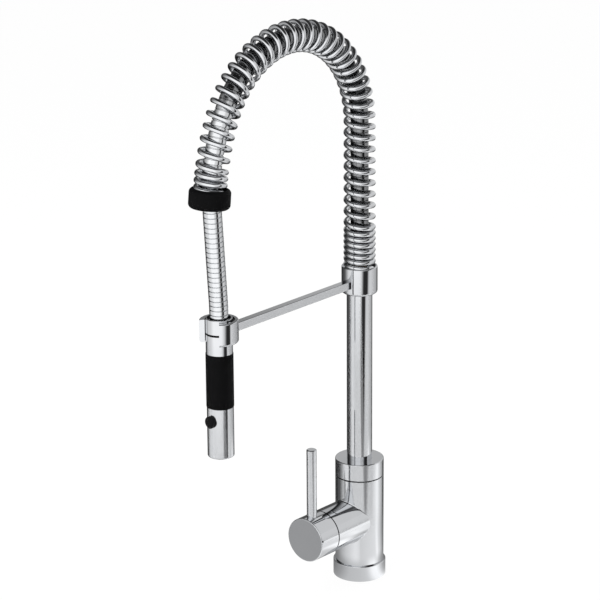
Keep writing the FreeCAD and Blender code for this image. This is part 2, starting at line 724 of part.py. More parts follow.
def make_mixer_body():
    """The body: an upright drum with its water ways, and the branch brazed to it for the cartridge."""
    drum = turned([
        (0, BASE_RING_H), (BODY_R, BASE_RING_H), (BODY_R, BODY_H, EDGE_R / 2), (0, BODY_H),
    ])
    branch = rod(BRANCH_R, at(0, BRANCH_Z), at(BRANCH_END, BRANCH_Z))
    body = drum.fuse(branch).removeSplitter()
    joint = []
    for edge in body.Edges:
        box = edge.BoundBox
        meets = -BODY_R - FIT < box.YMin and box.YMax < 0 and box.ZLength > BRANCH_R
        if meets and not isinstance(edge.Curve, (Part.Line, Part.Circle)):
            joint.append(edge)
    body = body.makeFillet(BRANCH_FILLET, joint)
    cuts = [
        rod(CART_BORE_R, at(CART_SEAT, BRANCH_Z), at(BRANCH_END, BRANCH_Z)),
        rod(CART_NUT_R + FIT, at(CART_FRONT, BRANCH_Z), at(BRANCH_END, BRANCH_Z)),
        rod(SPIGOT_R + RUN, V(0, 0, CHAMBER_Z), V(0, 0, BODY_H)),
        rod(FOOT_BOSS_R + FIT, V(0, 0, BASE_RING_H), V(0, 0, FOOT_BOSS_TOP_Z + FIT)),
    ]
    inlet_z = BRANCH_Z - INLET_PORT_DROP
    for x in inlet_places():
        cuts.append(rod(PORT_R, V(x, 0, FOOT_BOSS_TOP_Z), V(x, 0, inlet_z + PORT_R)))
        cuts.append(rod(PORT_R, V(x, 0, inlet_z), at(CART_SEAT, inlet_z, x)))
    outlet_z = BRANCH_Z + OUTLET_PORT_RISE
    cuts.append(rod(PORT_R, V(0, 0, outlet_z), at(CART_SEAT, outlet_z)))
    cuts.append(rod(PORT_R, V(0, 0, outlet_z - PORT_R), V(0, 0, CHAMBER_Z)))
    groove_floor = SPIGOT_R - LOCK_GROOVE_DEPTH
    cuts.append(rod(SCREW_D / 2 + FIT, V(0, groove_floor, LOCK_Z), V(0, BODY_R + PAST, LOCK_Z)))
    body = body.cut(cuts)
    beyond_joint = block(
        (-BRANCH_D, BRANCH_D), (BODY_R + BRANCH_FILLET, BRANCH_END + PAST),
        (BRANCH_Z - BRANCH_D, BRANCH_Z + BRANCH_D),
    )
    save("mixer_body", body.cut(beyond_joint))
    save("mixer_branch", body.common(beyond_joint))
    tip = V(0, groove_floor + AIR, LOCK_Z)
    head = V(0, BODY_R - LOCK_SCREW_SINK, LOCK_Z)
    save("swivel_lock_screw", grub_screw(SCREW_D, tip, head))
    save("slide_ring", pipe(
        BODY_R - EDGE_R, SPIGOT_R + SLIDE_RING_CLEAR,
        V(0, 0, BODY_H), V(0, 0, BODY_H + SLIDE_RING_T),
    ))


# Cartridge

def port_places():
    """Side offset and height of the three ports in the cartridge floor."""
    places = [(x, BRANCH_Z - INLET_PORT_DROP) for x in inlet_places()]
    places.append((0.0, BRANCH_Z + OUTLET_PORT_RISE))
    return places


def along_branch(radius, start, end, z=BRANCH_Z, x=0.0):
    """A cylinder along the branch between two forward distances."""
    return rod(radius, at(start, z, x), at(end, z, x))


def make_cartridge():
    """The fixed half of the cartridge: cup, port seals, fixed ceramic disc and nut."""
    cup = along_branch(CART_R, CART_SEAT, CART_FRONT)
    cup = cup.cut(along_branch(CART_INNER_R, FIXED_DISC_AT, CART_FRONT))
    disc = along_branch(CART_INNER_R - FIT, FIXED_DISC_AT, FIXED_DISC_AT + DISC_T)
    seals = []
    seal_r = PORT_R + SEAL_WIDTH
    for x, z in port_places():
        cup = cup.cut(along_branch(PORT_R, CART_SEAT, CART_FRONT, z, x))
        cup = cup.cut(along_branch(seal_r + FIT, CART_SEAT, CART_SEAT + SEAL_T, z, x))
        disc = disc.cut(along_branch(PORT_R, FIXED_DISC_AT, MOVING_DISC_AT, z, x))
        start = at(CART_SEAT, z, x)
        seals.append(pipe(seal_r, PORT_R, start, at(CART_SEAT + SEAL_T - FIT, z, x)))
    save("cartridge_housing", cup)
    save("cartridge_port_seals", joined(seals))
    save("cartridge_fixed_disc", disc)
    nut = along_branch(CART_NUT_R, CART_FRONT, CART_NUT_FRONT)
    save("cartridge_nut", nut.cut(along_branch(CART_NUT_BORE_R, CART_FRONT, CART_NUT_FRONT)))


def make_disc_slide():
    """The sliding ceramic disc and the carrier that the stem's tail pushes."""
    disc = along_branch(MOVING_DISC_R, MOVING_DISC_AT, CARRIER_AT, DISC_Z)
    hollow_end = MOVING_DISC_AT + DISC_HOLLOW_DEPTH
    hollow = along_branch(DISC_HOLLOW_D / 2, MOVING_DISC_AT, hollow_end, DISC_Z)
    save("moving_disc", disc.cut(hollow))
    carrier = along_branch(MOVING_DISC_R, CARRIER_AT, CARRIER_END, DISC_Z)
    half_w = STEM_W / 2 + STEM_SLOT_AIR
    half_h = STEM_TAIL_H / 2 + TAIL_ROCK
    pocket = block(
        (-half_w, half_w),
        (STEM_TAIL - AIR, CARRIER_END),
        (BRANCH_Z - half_h, BRANCH_Z + half_h),
    )
    save("disc_carrier", carrier.cut(pocket))


def make_rotor():
    """The turning drum of the cartridge and the pin that the stem tilts on."""
    drum = along_branch(DRUM_R, ROTOR_AT, CART_FRONT - RUN)
    neck = along_branch(NECK_R, ROTOR_AT, ROTOR_FRONT)
    half_w = STEM_W / 2 + STEM_SLOT_AIR
    slot = block(
        (-half_w, half_w),
        (ROTOR_AT, ROTOR_FRONT),
        (PIN_Z - LUG_FOOT - LUG_SWING, BRANCH_Z + NECK_R - SLOT_RIM),
    )
    half_pin = sqrt(NECK_R ** 2 - PIN_DROP ** 2) - PIN_END_SETBACK
    pin = rod(PIN_D / 2, at(PIN_AT, PIN_Z, -half_pin), at(PIN_AT, PIN_Z, half_pin))
    hole = rod(PIN_D / 2 + FIT, at(PIN_AT, PIN_Z, -CART_R), at(PIN_AT, PIN_Z, CART_R))
    save("cartridge_rotor", drum.fuse(neck).cut([slot, hole]).removeSplitter())
    save("tilt_pin", pin)


# Handle

def make_handle():
    """The stem, the cap with its relief for tilting, the lever and the small fittings."""
    half = STEM_W / 2
    bar = block((-half, half), (CARRIER_END, STEM_END), (BRANCH_Z - half, BRANCH_Z + half))
    tail_h = STEM_TAIL_H / 2
    tail = block((-half, half), (STEM_TAIL, STEM_END), (BRANCH_Z - tail_h, BRANCH_Z + tail_h))
    lug_half = PIN_D / 2 + LUG_WALL
    lug = block((-half, half), (PIN_AT - lug_half, PIN_AT + lug_half), (PIN_Z - LUG_FOOT, BRANCH_Z))
    eye = rod(PIN_D / 2 + RUN, at(PIN_AT, PIN_Z, -STEM_W), at(PIN_AT, PIN_Z, STEM_W))
    save("cartridge_stem", bar.fuse([tail, lug]).removeSplitter().cut(eye))

    cap = turned([
        (0, 0), (BRANCH_R, 0, EDGE_R / 2), (BRANCH_R, CAP_LEN, EDGE_R), (0, CAP_LEN),
    ])
    cap.rotate(V(0, 0, 0), V(1, 0, 0), 90)
    cap.translate(at(CAP_REAR, BRANCH_Z))
    hollow = along_branch(BRANCH_R - CAP_WALL, CAP_REAR, NOSE_REAR)
    socket_half = half + FIT
    socket_z = (BRANCH_Z - socket_half, BRANCH_Z + socket_half)
    socket = block((-socket_half, socket_half), (NOSE_REAR, STEM_END + FIT), socket_z)
    lever_hole = rod(LEVER_D / 2 + FIT, at(LEVER_AT, LEVER_FOOT_Z), at(LEVER_AT, LEVER_TOP_Z))
    screw_at = (NOSE_REAR + STEM_END) / 2
    screw_foot_z = BRANCH_Z - BRANCH_R + HANDLE_SCREW_SINK
    screw_hole = rod(SCREW_D / 2 + FIT, at(screw_at, BRANCH_Z), at(screw_at, BRANCH_Z - BRANCH_D))
    cap = cap.cut([hollow, socket, lever_hole, screw_hole, tilt_relief()])
    dots = []
    dot_z = BRANCH_Z + INDEX_RISE
    for side in (-1, 1):
        outer = at(CAP_FRONT - INDEX_SETBACK, dot_z, side * (BRANCH_R + PAST))
        inner = at(CAP_FRONT - INDEX_SETBACK, dot_z, side * (BRANCH_R - INDEX_DEPTH))
        cap = cap.cut(rod(INDEX_D / 2 + FIT, inner, outer))
        round_face = along_branch(BRANCH_R, CAP_REAR, CAP_FRONT)
        dots.append(rod(INDEX_D / 2, inner, outer).common(round_face))
    save("handle_cap", cap)
    save("index_dots", joined(dots))
    screw_tip = at(screw_at, BRANCH_Z - half)
    save("handle_set_screw", grub_screw(SCREW_D, screw_tip, at(screw_at, screw_foot_z)))
    lever_r = LEVER_D / 2
    chamfer_z = LEVER_TOP_Z - LEVER_CHAMFER
    save("lever_rod", turned([
        (0, LEVER_FOOT_Z), (lever_r, LEVER_FOOT_Z), (lever_r, chamfer_z),
        (lever_r - LEVER_CHAMFER, LEVER_TOP_Z), (0, LEVER_TOP_Z),
    ], LEVER_AT))


def tilt_relief():
    """The wedge off the cap's lower rear rim that lets the cap tilt past the branch."""
    wedge = block((-BRANCH_D, BRANCH_D), (PIN_AT - BRANCH_D, BRANCH_END + AIR),
                  (PIN_Z - BRANCH_D, PIN_Z + BRANCH_D))
    wedge.rotate(at(PIN_AT, PIN_Z), V(1, 0, 0), -LEVER_TILT)
    return wedge


# Swivel and column

def make_swivel():
    """The spigot that turns in the body, its rings, the chrome collar over it and the column."""
    spigot = turned([
        (SPIGOT_BORE_R, SPIGOT_BOTTOM_Z), (SPIGOT_R, SPIGOT_BOTTOM_Z),
        (SPIGOT_R, FLANGE_BOTTOM_Z), (SPIGOT_FLANGE_R, FLANGE_BOTTOM_Z),
        (SPIGOT_FLANGE_R, FLANGE_TOP_Z), (SPIGOT_BORE_R, FLANGE_TOP_Z),
    ])
    groove_w = O_RING_T + 4 * FIT
    rings = []
    for i in range(O_RING_COUNT):
        z = SPIGOT_BOTTOM_Z + FIRST_O_RING + i * O_RING_STEP
        spigot = spigot.cut(pipe(
            SPIGOT_R, SPIGOT_R - O_RING_T, V(0, 0, z - groove_w / 2), V(0, 0, z + groove_w / 2),
        ))
        rings.append(o_ring(SPIGOT_R - O_RING_T / 2, O_RING_T - FIT, z))
    lock_half = SCREW_D / 2 + AIR
    spigot = spigot.cut(pipe(
        SPIGOT_R, SPIGOT_R - LOCK_GROOVE_DEPTH, V(0, 0, LOCK_Z - lock_half), V(0, 0, LOCK_Z + lock_half),
    ))
    save("column_spigot", spigot)
    save("spigot_o_rings", joined(rings))
    bore_r = COLUMN_R + FIT
    recess_r = SPIGOT_FLANGE_R + FIT
    save("swivel_collar", turned([
        (recess_r, SWIVEL_BOTTOM_Z), (BODY_R, SWIVEL_BOTTOM_Z, EDGE_R / 2),
        (BODY_R, SWIVEL_TOP_Z, EDGE_R), (bore_r, SWIVEL_TOP_Z),
        (bore_r, FLANGE_TOP_Z), (recess_r, FLANGE_TOP_Z),
    ]))
    save("column_tube", pipe(COLUMN_R, COLUMN_BORE_R, V(0, 0, FLANGE_TOP_Z), V(0, 0, COLUMN_TOP_Z)))


# Collar, connector, spring and hose

spring_stretches = [
    (TIGHT_TURNS, TIGHT_LENGTH),
    (OPEN_TURNS, SPRING_LENGTH - TIGHT_LENGTH - END_LENGTH),
    (END_TURNS, END_LENGTH),
]
spring_samples = wound_curve(spring_route, SPRING_R, -1, spring_stretches)
foot_point, foot_way = spring_samples[0]
foot_tang = tang(foot_point, foot_way * -1, V(0, 0, -1), TANG_BEND_R, WIRE_D)
head_point, head_way = spring_samples[-1]
head_tang = tang(head_point, head_way, RING_AXIS, TANG_BEND_R, WIRE_D)


def tang_pocket(edges, entry, way):
    """The room that a spring's tail needs in what holds it."""
    lead = Part.LineSegment(entry - way * WIRE_D, entry).toShape()
    return swept([lead] + edges, WIRE_D / 2 + FIT)


def make_spring():
    """The wound spring, one unbroken wire from the collar to the ring."""
    edges = reverse_edges(foot_tang) + wound_edges(spring_samples) + head_tang
    print("arch spring turns", TIGHT_TURNS + OPEN_TURNS + END_TURNS)
    print("arch spring least gap", round(least_gap(edges, WIRE_D, SPRING_R), 2))
    save("arch_spring", swept(edges, WIRE_D / 2))


def make_collar():
    """The collar on top of the column, which seats the spring and holds the connector."""
    web_z = COLUMN_TOP_Z + FIT
    stem_r = CONNECTOR_STEM_D / 2 + AIR
    collar = turned([
        (COLUMN_R + FIT, COLLAR_BOTTOM_Z), (COLLAR_R, COLLAR_BOTTOM_Z, COLLAR_LOWER_R),
        (COLLAR_R, COLLAR_TOP_Z, EDGE_R), (SPRING_SEAT_R, COLLAR_TOP_Z), (SPRING_SEAT_R, SEAT_Z),
        (stem_r, SEAT_Z), (stem_r, web_z), (COLUMN_R + FIT, web_z),
    ])
    half = ARM_SIDE / 2 + FIT
    socket = block((-half, half), (COLLAR_R - ARM_SOCKET, COLLAR_R + PAST), (ARM_Z - half, ARM_Z + half))
    screw_hole = rod(COLLAR_SCREW_D / 2 + FIT, V(0, 0, ARM_Z), V(0, COLLAR_R + PAST, ARM_Z))
    pocket = tang_pocket(foot_tang, foot_point, foot_way * -1)
    save("upper_collar", collar.cut([socket, screw_hole, pocket]))
    tip = V(0, COLUMN_R + FIT / 2, ARM_Z)
    save("collar_set_screw", grub_screw(COLLAR_SCREW_D, tip, V(0, COLLAR_R - COLLAR_SCREW_SINK, ARM_Z)))


def make_connector():
    """The brass union in the column's top, its ring and the ferrule over the hose."""
    foot_z = COLUMN_TOP_Z - CONNECTOR_LEN
    groove_z = foot_z + CONNECTOR_LEN / 2
    union = turned([
        (WATERWAY_R, foot_z), (CONNECTOR_R, foot_z), (CONNECTOR_R, COLUMN_TOP_Z),
        (CONNECTOR_STEM_D / 2, COLUMN_TOP_Z), (CONNECTOR_STEM_D / 2, HOSE_START_Z),
        (NIPPLE_R, HOSE_START_Z), (NIPPLE_R, HOSE_START_Z + NIPPLE_LEN),
        (WATERWAY_R, HOSE_START_Z + NIPPLE_LEN),
    ])
    half = O_RING_T / 2 + 2 * FIT
    groove_r = COLUMN_BORE_R - O_RING_T - FIT
    groove = pipe(CONNECTOR_R, groove_r, V(0, 0, groove_z - half), V(0, 0, groove_z + half))
    save("hose_connector", union.cut(groove))
    ring_r = COLUMN_BORE_R - O_RING_T / 2 - FIT
    save("connector_o_ring", o_ring(ring_r, O_RING_T - FIT, groove_z))
    save("hose_top_ferrule", pipe(
        HOSE_GRIP_R + FERRULE_WALL, HOSE_GRIP_R,
        V(0, 0, HOSE_START_Z), V(0, 0, HOSE_START_Z + FERRULE_LEN),
    ))


def ribbed_hose(route):
    """A ribbed hose along a route: flat ribs with narrow grooves between, and its bore."""
    length = route_length(route)
    ribs = max(1, int(round(length / RIB_PITCH)))
    pitch = length / ribs
    groove_r = HOSE_R - RIB_GROOVE
    rib_end = 1 - RIB_FLOOR_SHARE
    profile = [
        (0.0, groove_r), (RIB_SLOPE_SHARE, HOSE_R),
        (rib_end - RIB_SLOPE_SHARE, HOSE_R), (rib_end, groove_r),
    ]
    circles = []
    for rib in range(ribs):
        for share, radius in profile:
            circles.append(hose_circle(route, (rib + share) * pitch, radius))
    circles.append(hose_circle(route, length, groove_r))
    outside = Part.makeLoft(circles, True, True)
    bore = route_wire(route).makePipeShell(
        [hose_circle(route, 0.0, HOSE_BORE_D / 2)], True, False)
    print("hose length", round(length, 1), "ribs", ribs)
    return outside.cut(bore)


def hose_circle(route, distance, radius):
    """A circle square to a route, its own X axis always across the faucet."""
    forward, z, heading = route_point(route, distance)
    circle = Part.makeCircle(radius)
    lean = FreeCAD.Rotation(V(1, 0, 0), 90 - degrees(heading))
    circle.Placement = FreeCAD.Placement(at(forward, z), lean)
    return Part.Wire(circle)


def make_hoses():
    """The hose inside the spring and the stretch from the ring to the spray."""
    save("hose_arch", ribbed_hose(arch_hose_route))
    save("hose_drop", ribbed_hose(drop_hose_route))


def make_end_ring():
    """The rubber ring that ends the spring and guides the hose."""
    ring = turned([
        (0, 0), (RING_R, 0, RING_ROUND), (RING_R, RING_H, RING_ROUND), (0, RING_H),
    ])
    seat = rod(SPRING_SEAT_R, V(0, 0, RING_H - RING_SEAT_DEPTH), V(0, 0, RING_H + PAST))
    ring = ring.cut(seat)
    ring.Placement = FreeCAD.Placement(RING_FOOT, FreeCAD.Rotation(V(0, 0, 1), RING_AXIS * -1))
    passage = swept(route_wire(ring_route).Edges, HOSE_R + RING_HOSE_AIR)
    pocket = tang_pocket(head_tang, head_point, head_way)
    save("spring_end_ring", ring.cut([passage, pocket]))


# Arm and dock

def countersunk(shank_r, head_r, start, tip):
    """A countersunk screw, or its hole, at the arm's height: the head starts nearest the spray."""
    head_end = start - (head_r - shank_r)
    head = Part.makeCone(head_r, shank_r, start - head_end, at(start, ARM_Z), V(0, 1, 0))
    return head.fuse(rod(shank_r, at(start, ARM_Z), at(tip, ARM_Z))).removeSplitter()


def make_arm_and_dock():
    """The square arm, the open clip that holds the spray, the liner behind its jaws and the screw."""
    half = ARM_SIDE / 2
    start = COLLAR_R - ARM_SOCKET
    end = DOCK_REACH - DOCK_R + ARM_SOCKET
    arm = block((-half, half), (start, end), (ARM_Z - half, ARM_Z + half))
    long_edges = [edge for edge in arm.Edges if edge.BoundBox.YLength > ARM_SIDE * 2]
    arm = arm.makeFillet(ARM_EDGE_R, long_edges)
    jaw_bore_r = SPRAY_R + 2 * AIR
    clip = turned([
        (jaw_bore_r, DOCK_BOTTOM_Z), (DOCK_R, DOCK_BOTTOM_Z, DOCK_LOWER_R),
        (DOCK_R, DOCK_TOP_Z, EDGE_R), (jaw_bore_r, DOCK_TOP_Z),
    ], DOCK_REACH)
    liner_r = DOCK_BORE_R - FIT
    liner_bore_r = SPRAY_R + AIR
    liner = turned([
        (liner_bore_r, DOCK_BOTTOM_Z + EDGE_R), (liner_r, DOCK_BOTTOM_Z + EDGE_R),
        (liner_r, DOCK_TOP_Z - EDGE_R), (liner_bore_r, DOCK_TOP_Z - EDGE_R),
    ], DOCK_REACH)
    foot_z = DOCK_BOTTOM_Z - PAST
    head_z = DOCK_TOP_Z + PAST
    ahead = (DOCK_REACH, DOCK_REACH + DOCK_R + PAST)
    mouth_half = degrees(asin((HOSE_R + DOCK_MOUTH_AIR) / jaw_bore_r))
    axis_foot = at(DOCK_REACH, foot_z)
    mouth = Part.makeCylinder(DOCK_R + PAST, head_z - foot_z, axis_foot, V(0, 0, 1), 2 * mouth_half)
    mouth.rotate(axis_foot, V(0, 0, 1), -90 - mouth_half)
    jaws = block((-DOCK_R, DOCK_R), ahead, (foot_z, head_z))
    liner_seat = rod(DOCK_BORE_R, axis_foot, at(DOCK_REACH, head_z)).cut(jaws)
    fit_half = half + FIT
    socket = block((-fit_half, fit_half), (0, end), (ARM_Z - fit_half, ARM_Z + fit_half))
    head_start = DOCK_REACH - DOCK_BORE_R
    screw_tip = head_start - ARM_SCREW_LEN
    screw = countersunk(ARM_SCREW_D / 2, ARM_SCREW_HEAD_D / 2, head_start, screw_tip)
    hole = countersunk(
        ARM_SCREW_D / 2 + FIT, ARM_SCREW_HEAD_D / 2 + FIT, head_start, screw_tip - FIT)
    way_in = rod(ARM_SCREW_HEAD_D / 2 + FIT, at(head_start, ARM_Z), at(DOCK_REACH, ARM_Z))
    hole = hole.fuse(way_in)
    save("support_arm", arm.cut(hole))
    save("dock_clip", clip.cut([liner_seat, mouth, socket, hole]))
    save("arm_screw", screw)
    save("dock_liner", liner.cut(jaws))


# Hose end and spray

def make_hose_end():
    """The end of the hose: its cone, the brass insert and the black grommet round it."""
    shoulder_r = NUT_LIP_BORE_R - AIR
    flange_r = NUT_THREAD_R - AIR
    save("hose_cone", turned([
        (STUB_R + FIT, CONE_BOTTOM_Z), (flange_r, CONE_BOTTOM_Z), (flange_r, CONE_SHOULDER_Z),
        (shoulder_r, CONE_SHOULDER_Z), (shoulder_r, CONE_TOP_Z), (HOSE_GRIP_R, CONE_TOP_Z),
        (HOSE_GRIP_R, CONE_SOCKET_Z), (STUB_R + FIT, CONE_SOCKET_Z),
    ], DOCK_REACH))
    save("hose_insert", turned([
        (WATERWAY_R, CONE_SOCKET_Z - STUB_LEN), (STUB_R, CONE_SOCKET_Z - STUB_LEN),
        (STUB_R, CONE_SOCKET_Z), (NIPPLE_R, CONE_SOCKET_Z),
        (NIPPLE_R, CONE_SOCKET_Z + NIPPLE_LEN), (WATERWAY_R, CONE_SOCKET_Z + NIPPLE_LEN),
    ], DOCK_REACH))
    grommet_r = SPRAY_R - NUT_RIM - AIR
    step_z = CONE_TOP_Z + AIR
    top_z = CONE_TOP_Z + GROMMET_T
    save("hose_grommet", turned([
        (HOSE_GRIP_R, CONE_TOP_Z), (shoulder_r, CONE_TOP_Z), (shoulder_r, step_z),
        (grommet_r, step_z), (grommet_r, top_z), (HOSE_GRIP_R, top_z),
    ], DOCK_REACH))


def make_spray_shells():
    """The swivel nut, the washer at its seam, the chrome shells and the rubber grip."""
    mouth_r = SPRAY_R - NUT_RIM
    save("hose_nut", turned([
        (NUT_THREAD_R, NUT_BOTTOM_Z), (SPRAY_R, NUT_BOTTOM_Z), (SPRAY_R, SPRAY_TOP_Z, EDGE_R / 2),
        (mouth_r, SPRAY_TOP_Z), (mouth_r, LIP_TOP_Z), (NUT_LIP_BORE_R, LIP_TOP_Z),
        (NUT_LIP_BORE_R, LIP_BOTTOM_Z), (NUT_THREAD_R, LIP_BOTTOM_Z),
    ], DOCK_REACH))
    neck_r = NUT_THREAD_R - 2 * FIT
    save("nut_washer", turned([
        (neck_r + FIT, WASHER_Z), (SPRAY_R - FIT, WASHER_Z),
        (SPRAY_R - FIT, NUT_BOTTOM_Z), (neck_r + FIT, NUT_BOTTOM_Z),
    ], DOCK_REACH))
    stub_hole_r = STUB_R + RUN
    save("spray_shell_upper", turned([
        (SPRAY_BORE_R, GRIP_TOP_Z), (SPRAY_R, GRIP_TOP_Z), (SPRAY_R, WASHER_Z),
        (neck_r, WASHER_Z), (neck_r, NECK_TOP_Z), (stub_hole_r, NECK_TOP_Z),
        (stub_hole_r, CORE_TOP_Z + FIT), (SPRAY_BORE_R, CORE_TOP_Z + FIT),
    ], DOCK_REACH))
    grip_r = SPRAY_R + GRIP_PROUD
    save("grip_sleeve", turned([
        (SPRAY_BORE_R, GRIP_BOTTOM_Z), (grip_r, GRIP_BOTTOM_Z, EDGE_R),
        (grip_r, GRIP_TOP_Z, EDGE_R), (SPRAY_BORE_R, GRIP_TOP_Z),
    ], DOCK_REACH))
    shell = turned([
        (SPRAY_BORE_R, SPRAY_BOTTOM_Z), (SPRAY_R, SPRAY_BOTTOM_Z, LOWER_EDGE_R),
        (SPRAY_R, GRIP_BOTTOM_Z), (SPRAY_BORE_R, GRIP_BOTTOM_Z),
    ], DOCK_REACH)
    save("spray_shell_lower", shell.cut(button_rod(BUTTON_R + RUN, 0, SPRAY_D)))


def make_spray_inside():
    """The plastic core with its water way, the non-return valve, the jet plate and the aerator."""
    def upright(radius, z_from, z_to):
        return rod(radius, at(DOCK_REACH, z_from), at(DOCK_REACH, z_to))

    valve_foot_z = CORE_TOP_Z - VALVE_LEN
    core = upright(CORE_R, FACE_TOP_Z, CORE_TOP_Z)
    core = core.cut([
        upright(AERATOR_R + FIT, FACE_TOP_Z, AERATOR_TOP_Z + FIT),
        upright(CORE_CHANNEL_R, FACE_TOP_Z, CORE_TOP_Z),
        upright(VALVE_D / 2 + FIT, valve_foot_z, CORE_TOP_Z),
        button_rod(BUTTON_FLANGE_R + AIR, POCKET_FLOOR, SPRAY_D),
        button_rod(PLUNGER_D / 2 + RUN, PLUNGER_TIP - BUTTON_TRAVEL - AIR, SPRAY_D),
    ])
    save("spray_core", core)
    valve = upright(VALVE_D / 2, valve_foot_z, CORE_TOP_Z)
    save("check_valve", valve.cut(upright(VALVE_BORE_R, valve_foot_z, CORE_TOP_Z)))
    face = upright(CORE_R, FACE_BOTTOM_Z, FACE_TOP_Z)
    face = face.cut(upright(AERATOR_R + FIT, FACE_BOTTOM_Z, FACE_TOP_Z))
    jets = []
    for i in range(JET_COUNT):
        turn = 2 * pi * i / JET_COUNT
        jets.append(round_hole(JET_CIRCLE_R, turn, JET_R, FACE_BOTTOM_Z, FACE_TOP_Z))
    save("spray_face", face.cut(jets))
    aerator = upright(AERATOR_R, AERATOR_FOOT_Z, AERATOR_TOP_Z)
    holes = [upright(MESH_HOLE_R, AERATOR_FOOT_Z, AERATOR_TOP_Z)]
    for i in range(MESH_COUNT):
        turn = 2 * pi * i / MESH_COUNT
        holes.append(round_hole(MESH_CIRCLE_D / 2, turn, MESH_HOLE_R, AERATOR_FOOT_Z, AERATOR_TOP_Z))
    save("aerator_insert", aerator.cut(holes))


def round_hole(circle_r, turn, radius, z_from, z_to):
    """An upright hole on a circle round the spray's axis."""
    x = circle_r * sin(turn)
    forward = DOCK_REACH + circle_r * cos(turn)
    return rod(radius, at(forward, z_from, x), at(forward, z_to, x))


# Jet button, its distances measured forward from the spray's axis

FLANGE_FRONT = sqrt(SPRAY_BORE_R ** 2 - BUTTON_FLANGE_R ** 2) - AIR / 2
FLANGE_BACK = FLANGE_FRONT - BUTTON_FLANGE_T
POCKET_FLOOR = FLANGE_BACK - BUTTON_TRAVEL - AIR
BUTTON_TIP = SPRAY_R + BUTTON_PROUD
BUTTON_HOLLOW_END = BUTTON_TIP - BUTTON_ROOF
PLUNGER_TIP = BUTTON_HOLLOW_END - PLUNGER_LEN


def button_rod(radius, start, end):
    """A cylinder along the button's line of travel."""
    return rod(radius, at(DOCK_REACH + start, BUTTON_Z), at(DOCK_REACH + end, BUTTON_Z))


def make_button():
    """The domed button, the plunger behind it and its return spring."""
    edge = BUTTON_TIP - BUTTON_CROWN
    crown_r = (BUTTON_R ** 2 + BUTTON_CROWN ** 2) / (2 * BUTTON_CROWN)
    crown_centre = at(DOCK_REACH + BUTTON_TIP - crown_r, BUTTON_Z)
    stem = button_rod(BUTTON_R, FLANGE_BACK, BUTTON_TIP)
    domed = stem.common(Part.makeSphere(crown_r, crown_centre))
    shank = button_rod(BUTTON_R, FLANGE_BACK, edge)
    flange = button_rod(BUTTON_FLANGE_R, FLANGE_BACK, FLANGE_FRONT)
    hollow = button_rod(BUTTON_HOLLOW_R, FLANGE_BACK, BUTTON_HOLLOW_END)
    save("jet_button", domed.fuse([shank, flange]).removeSplitter().cut(hollow))
    save("diverter_plunger", button_rod(PLUNGER_D / 2, PLUNGER_TIP, BUTTON_HOLLOW_END))
    mean_r = BUTTON_HOLLOW_R - BUTTON_SPRING_AIR - BUTTON_WIRE_D / 2
    start = DOCK_REACH + POCKET_FLOOR + BUTTON_WIRE_D / 2 + FIT
    length = BUTTON_HOLLOW_END - POCKET_FLOOR - BUTTON_WIRE_D - 2 * FIT
    line = {"start": (start, BUTTON_Z, 0.0), "stretches": [(length, 0.0)]}
    edges = wound_edges(wound_curve(line, mean_r, 1, [(BUTTON_TURNS, length)]))
    print("button spring least gap", round(least_gap(edges, BUTTON_WIRE_D, mean_r), 2))
    save("button_spring", swept(edges, BUTTON_WIRE_D / 2))


make_base()
make_base_foot()
make_mixer_body()
make_cartridge()
make_disc_slide()
make_rotor()
make_handle()
make_swivel()
make_collar()
make_connector()
make_spring()
make_hoses()
make_end_ring()
make_arm_and_dock()
make_hose_end()
make_spray_shells()
make_spray_inside()
make_button()
print("pieces", len(made))
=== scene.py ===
# %% [markdown]
# # A spring pull-down kitchen faucet
# The faucet's solid pieces come in as a fixed frame, in metres, standing on the worktop at z = 0 with the
# spout towards -Y. This lesson winds its spring, makes its ribbed hose, and gives each piece its finish.
# First the frame is loaded. The dressed faucet has to stay inside it.

import json
from math import asin, atan2, cos, degrees, hypot, pi, radians, sin, sqrt, tan

import bmesh
import bpy
from mathutils import Matrix, Vector


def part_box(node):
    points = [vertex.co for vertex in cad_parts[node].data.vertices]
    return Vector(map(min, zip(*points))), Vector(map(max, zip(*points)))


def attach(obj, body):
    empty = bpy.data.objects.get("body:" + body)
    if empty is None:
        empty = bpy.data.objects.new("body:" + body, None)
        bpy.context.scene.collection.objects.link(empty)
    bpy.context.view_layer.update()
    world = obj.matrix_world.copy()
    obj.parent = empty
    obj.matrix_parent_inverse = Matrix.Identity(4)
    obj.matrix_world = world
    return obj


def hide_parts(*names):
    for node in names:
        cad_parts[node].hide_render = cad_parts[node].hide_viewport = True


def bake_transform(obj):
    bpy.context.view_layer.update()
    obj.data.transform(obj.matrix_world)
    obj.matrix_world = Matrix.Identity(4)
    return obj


MM = 0.001
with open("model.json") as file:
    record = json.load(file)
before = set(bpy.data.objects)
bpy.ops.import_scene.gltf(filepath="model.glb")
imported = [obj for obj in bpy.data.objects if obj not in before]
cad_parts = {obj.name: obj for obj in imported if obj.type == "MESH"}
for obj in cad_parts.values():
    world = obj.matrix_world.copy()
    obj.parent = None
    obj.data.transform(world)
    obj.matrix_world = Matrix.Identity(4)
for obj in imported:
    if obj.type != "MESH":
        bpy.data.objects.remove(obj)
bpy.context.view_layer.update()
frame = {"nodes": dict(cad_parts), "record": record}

# %% [markdown]
# ## Camera
# A product photograph like this is taken with a long lens from a little above, so the upright lines stay
# nearly parallel. The camera could be aimed with a Track To constraint, but its three axes are written out
# here from the angle round the faucet, the pitch and a slight roll, which keeps every number readable.

# %% Camera
VIEW_AZIMUTH = radians(41.25)   # round to the right of the front
VIEW_PITCH = radians(18.3)      # looking down
VIEW_ROLL = radians(0.4)
VIEW_FROM = Vector((1.59513, -1.90637, 1.10882))    # metres
LENS, SENSOR = 162, 36          # millimetres
SIGHT = 50                      # metres that the camera sees

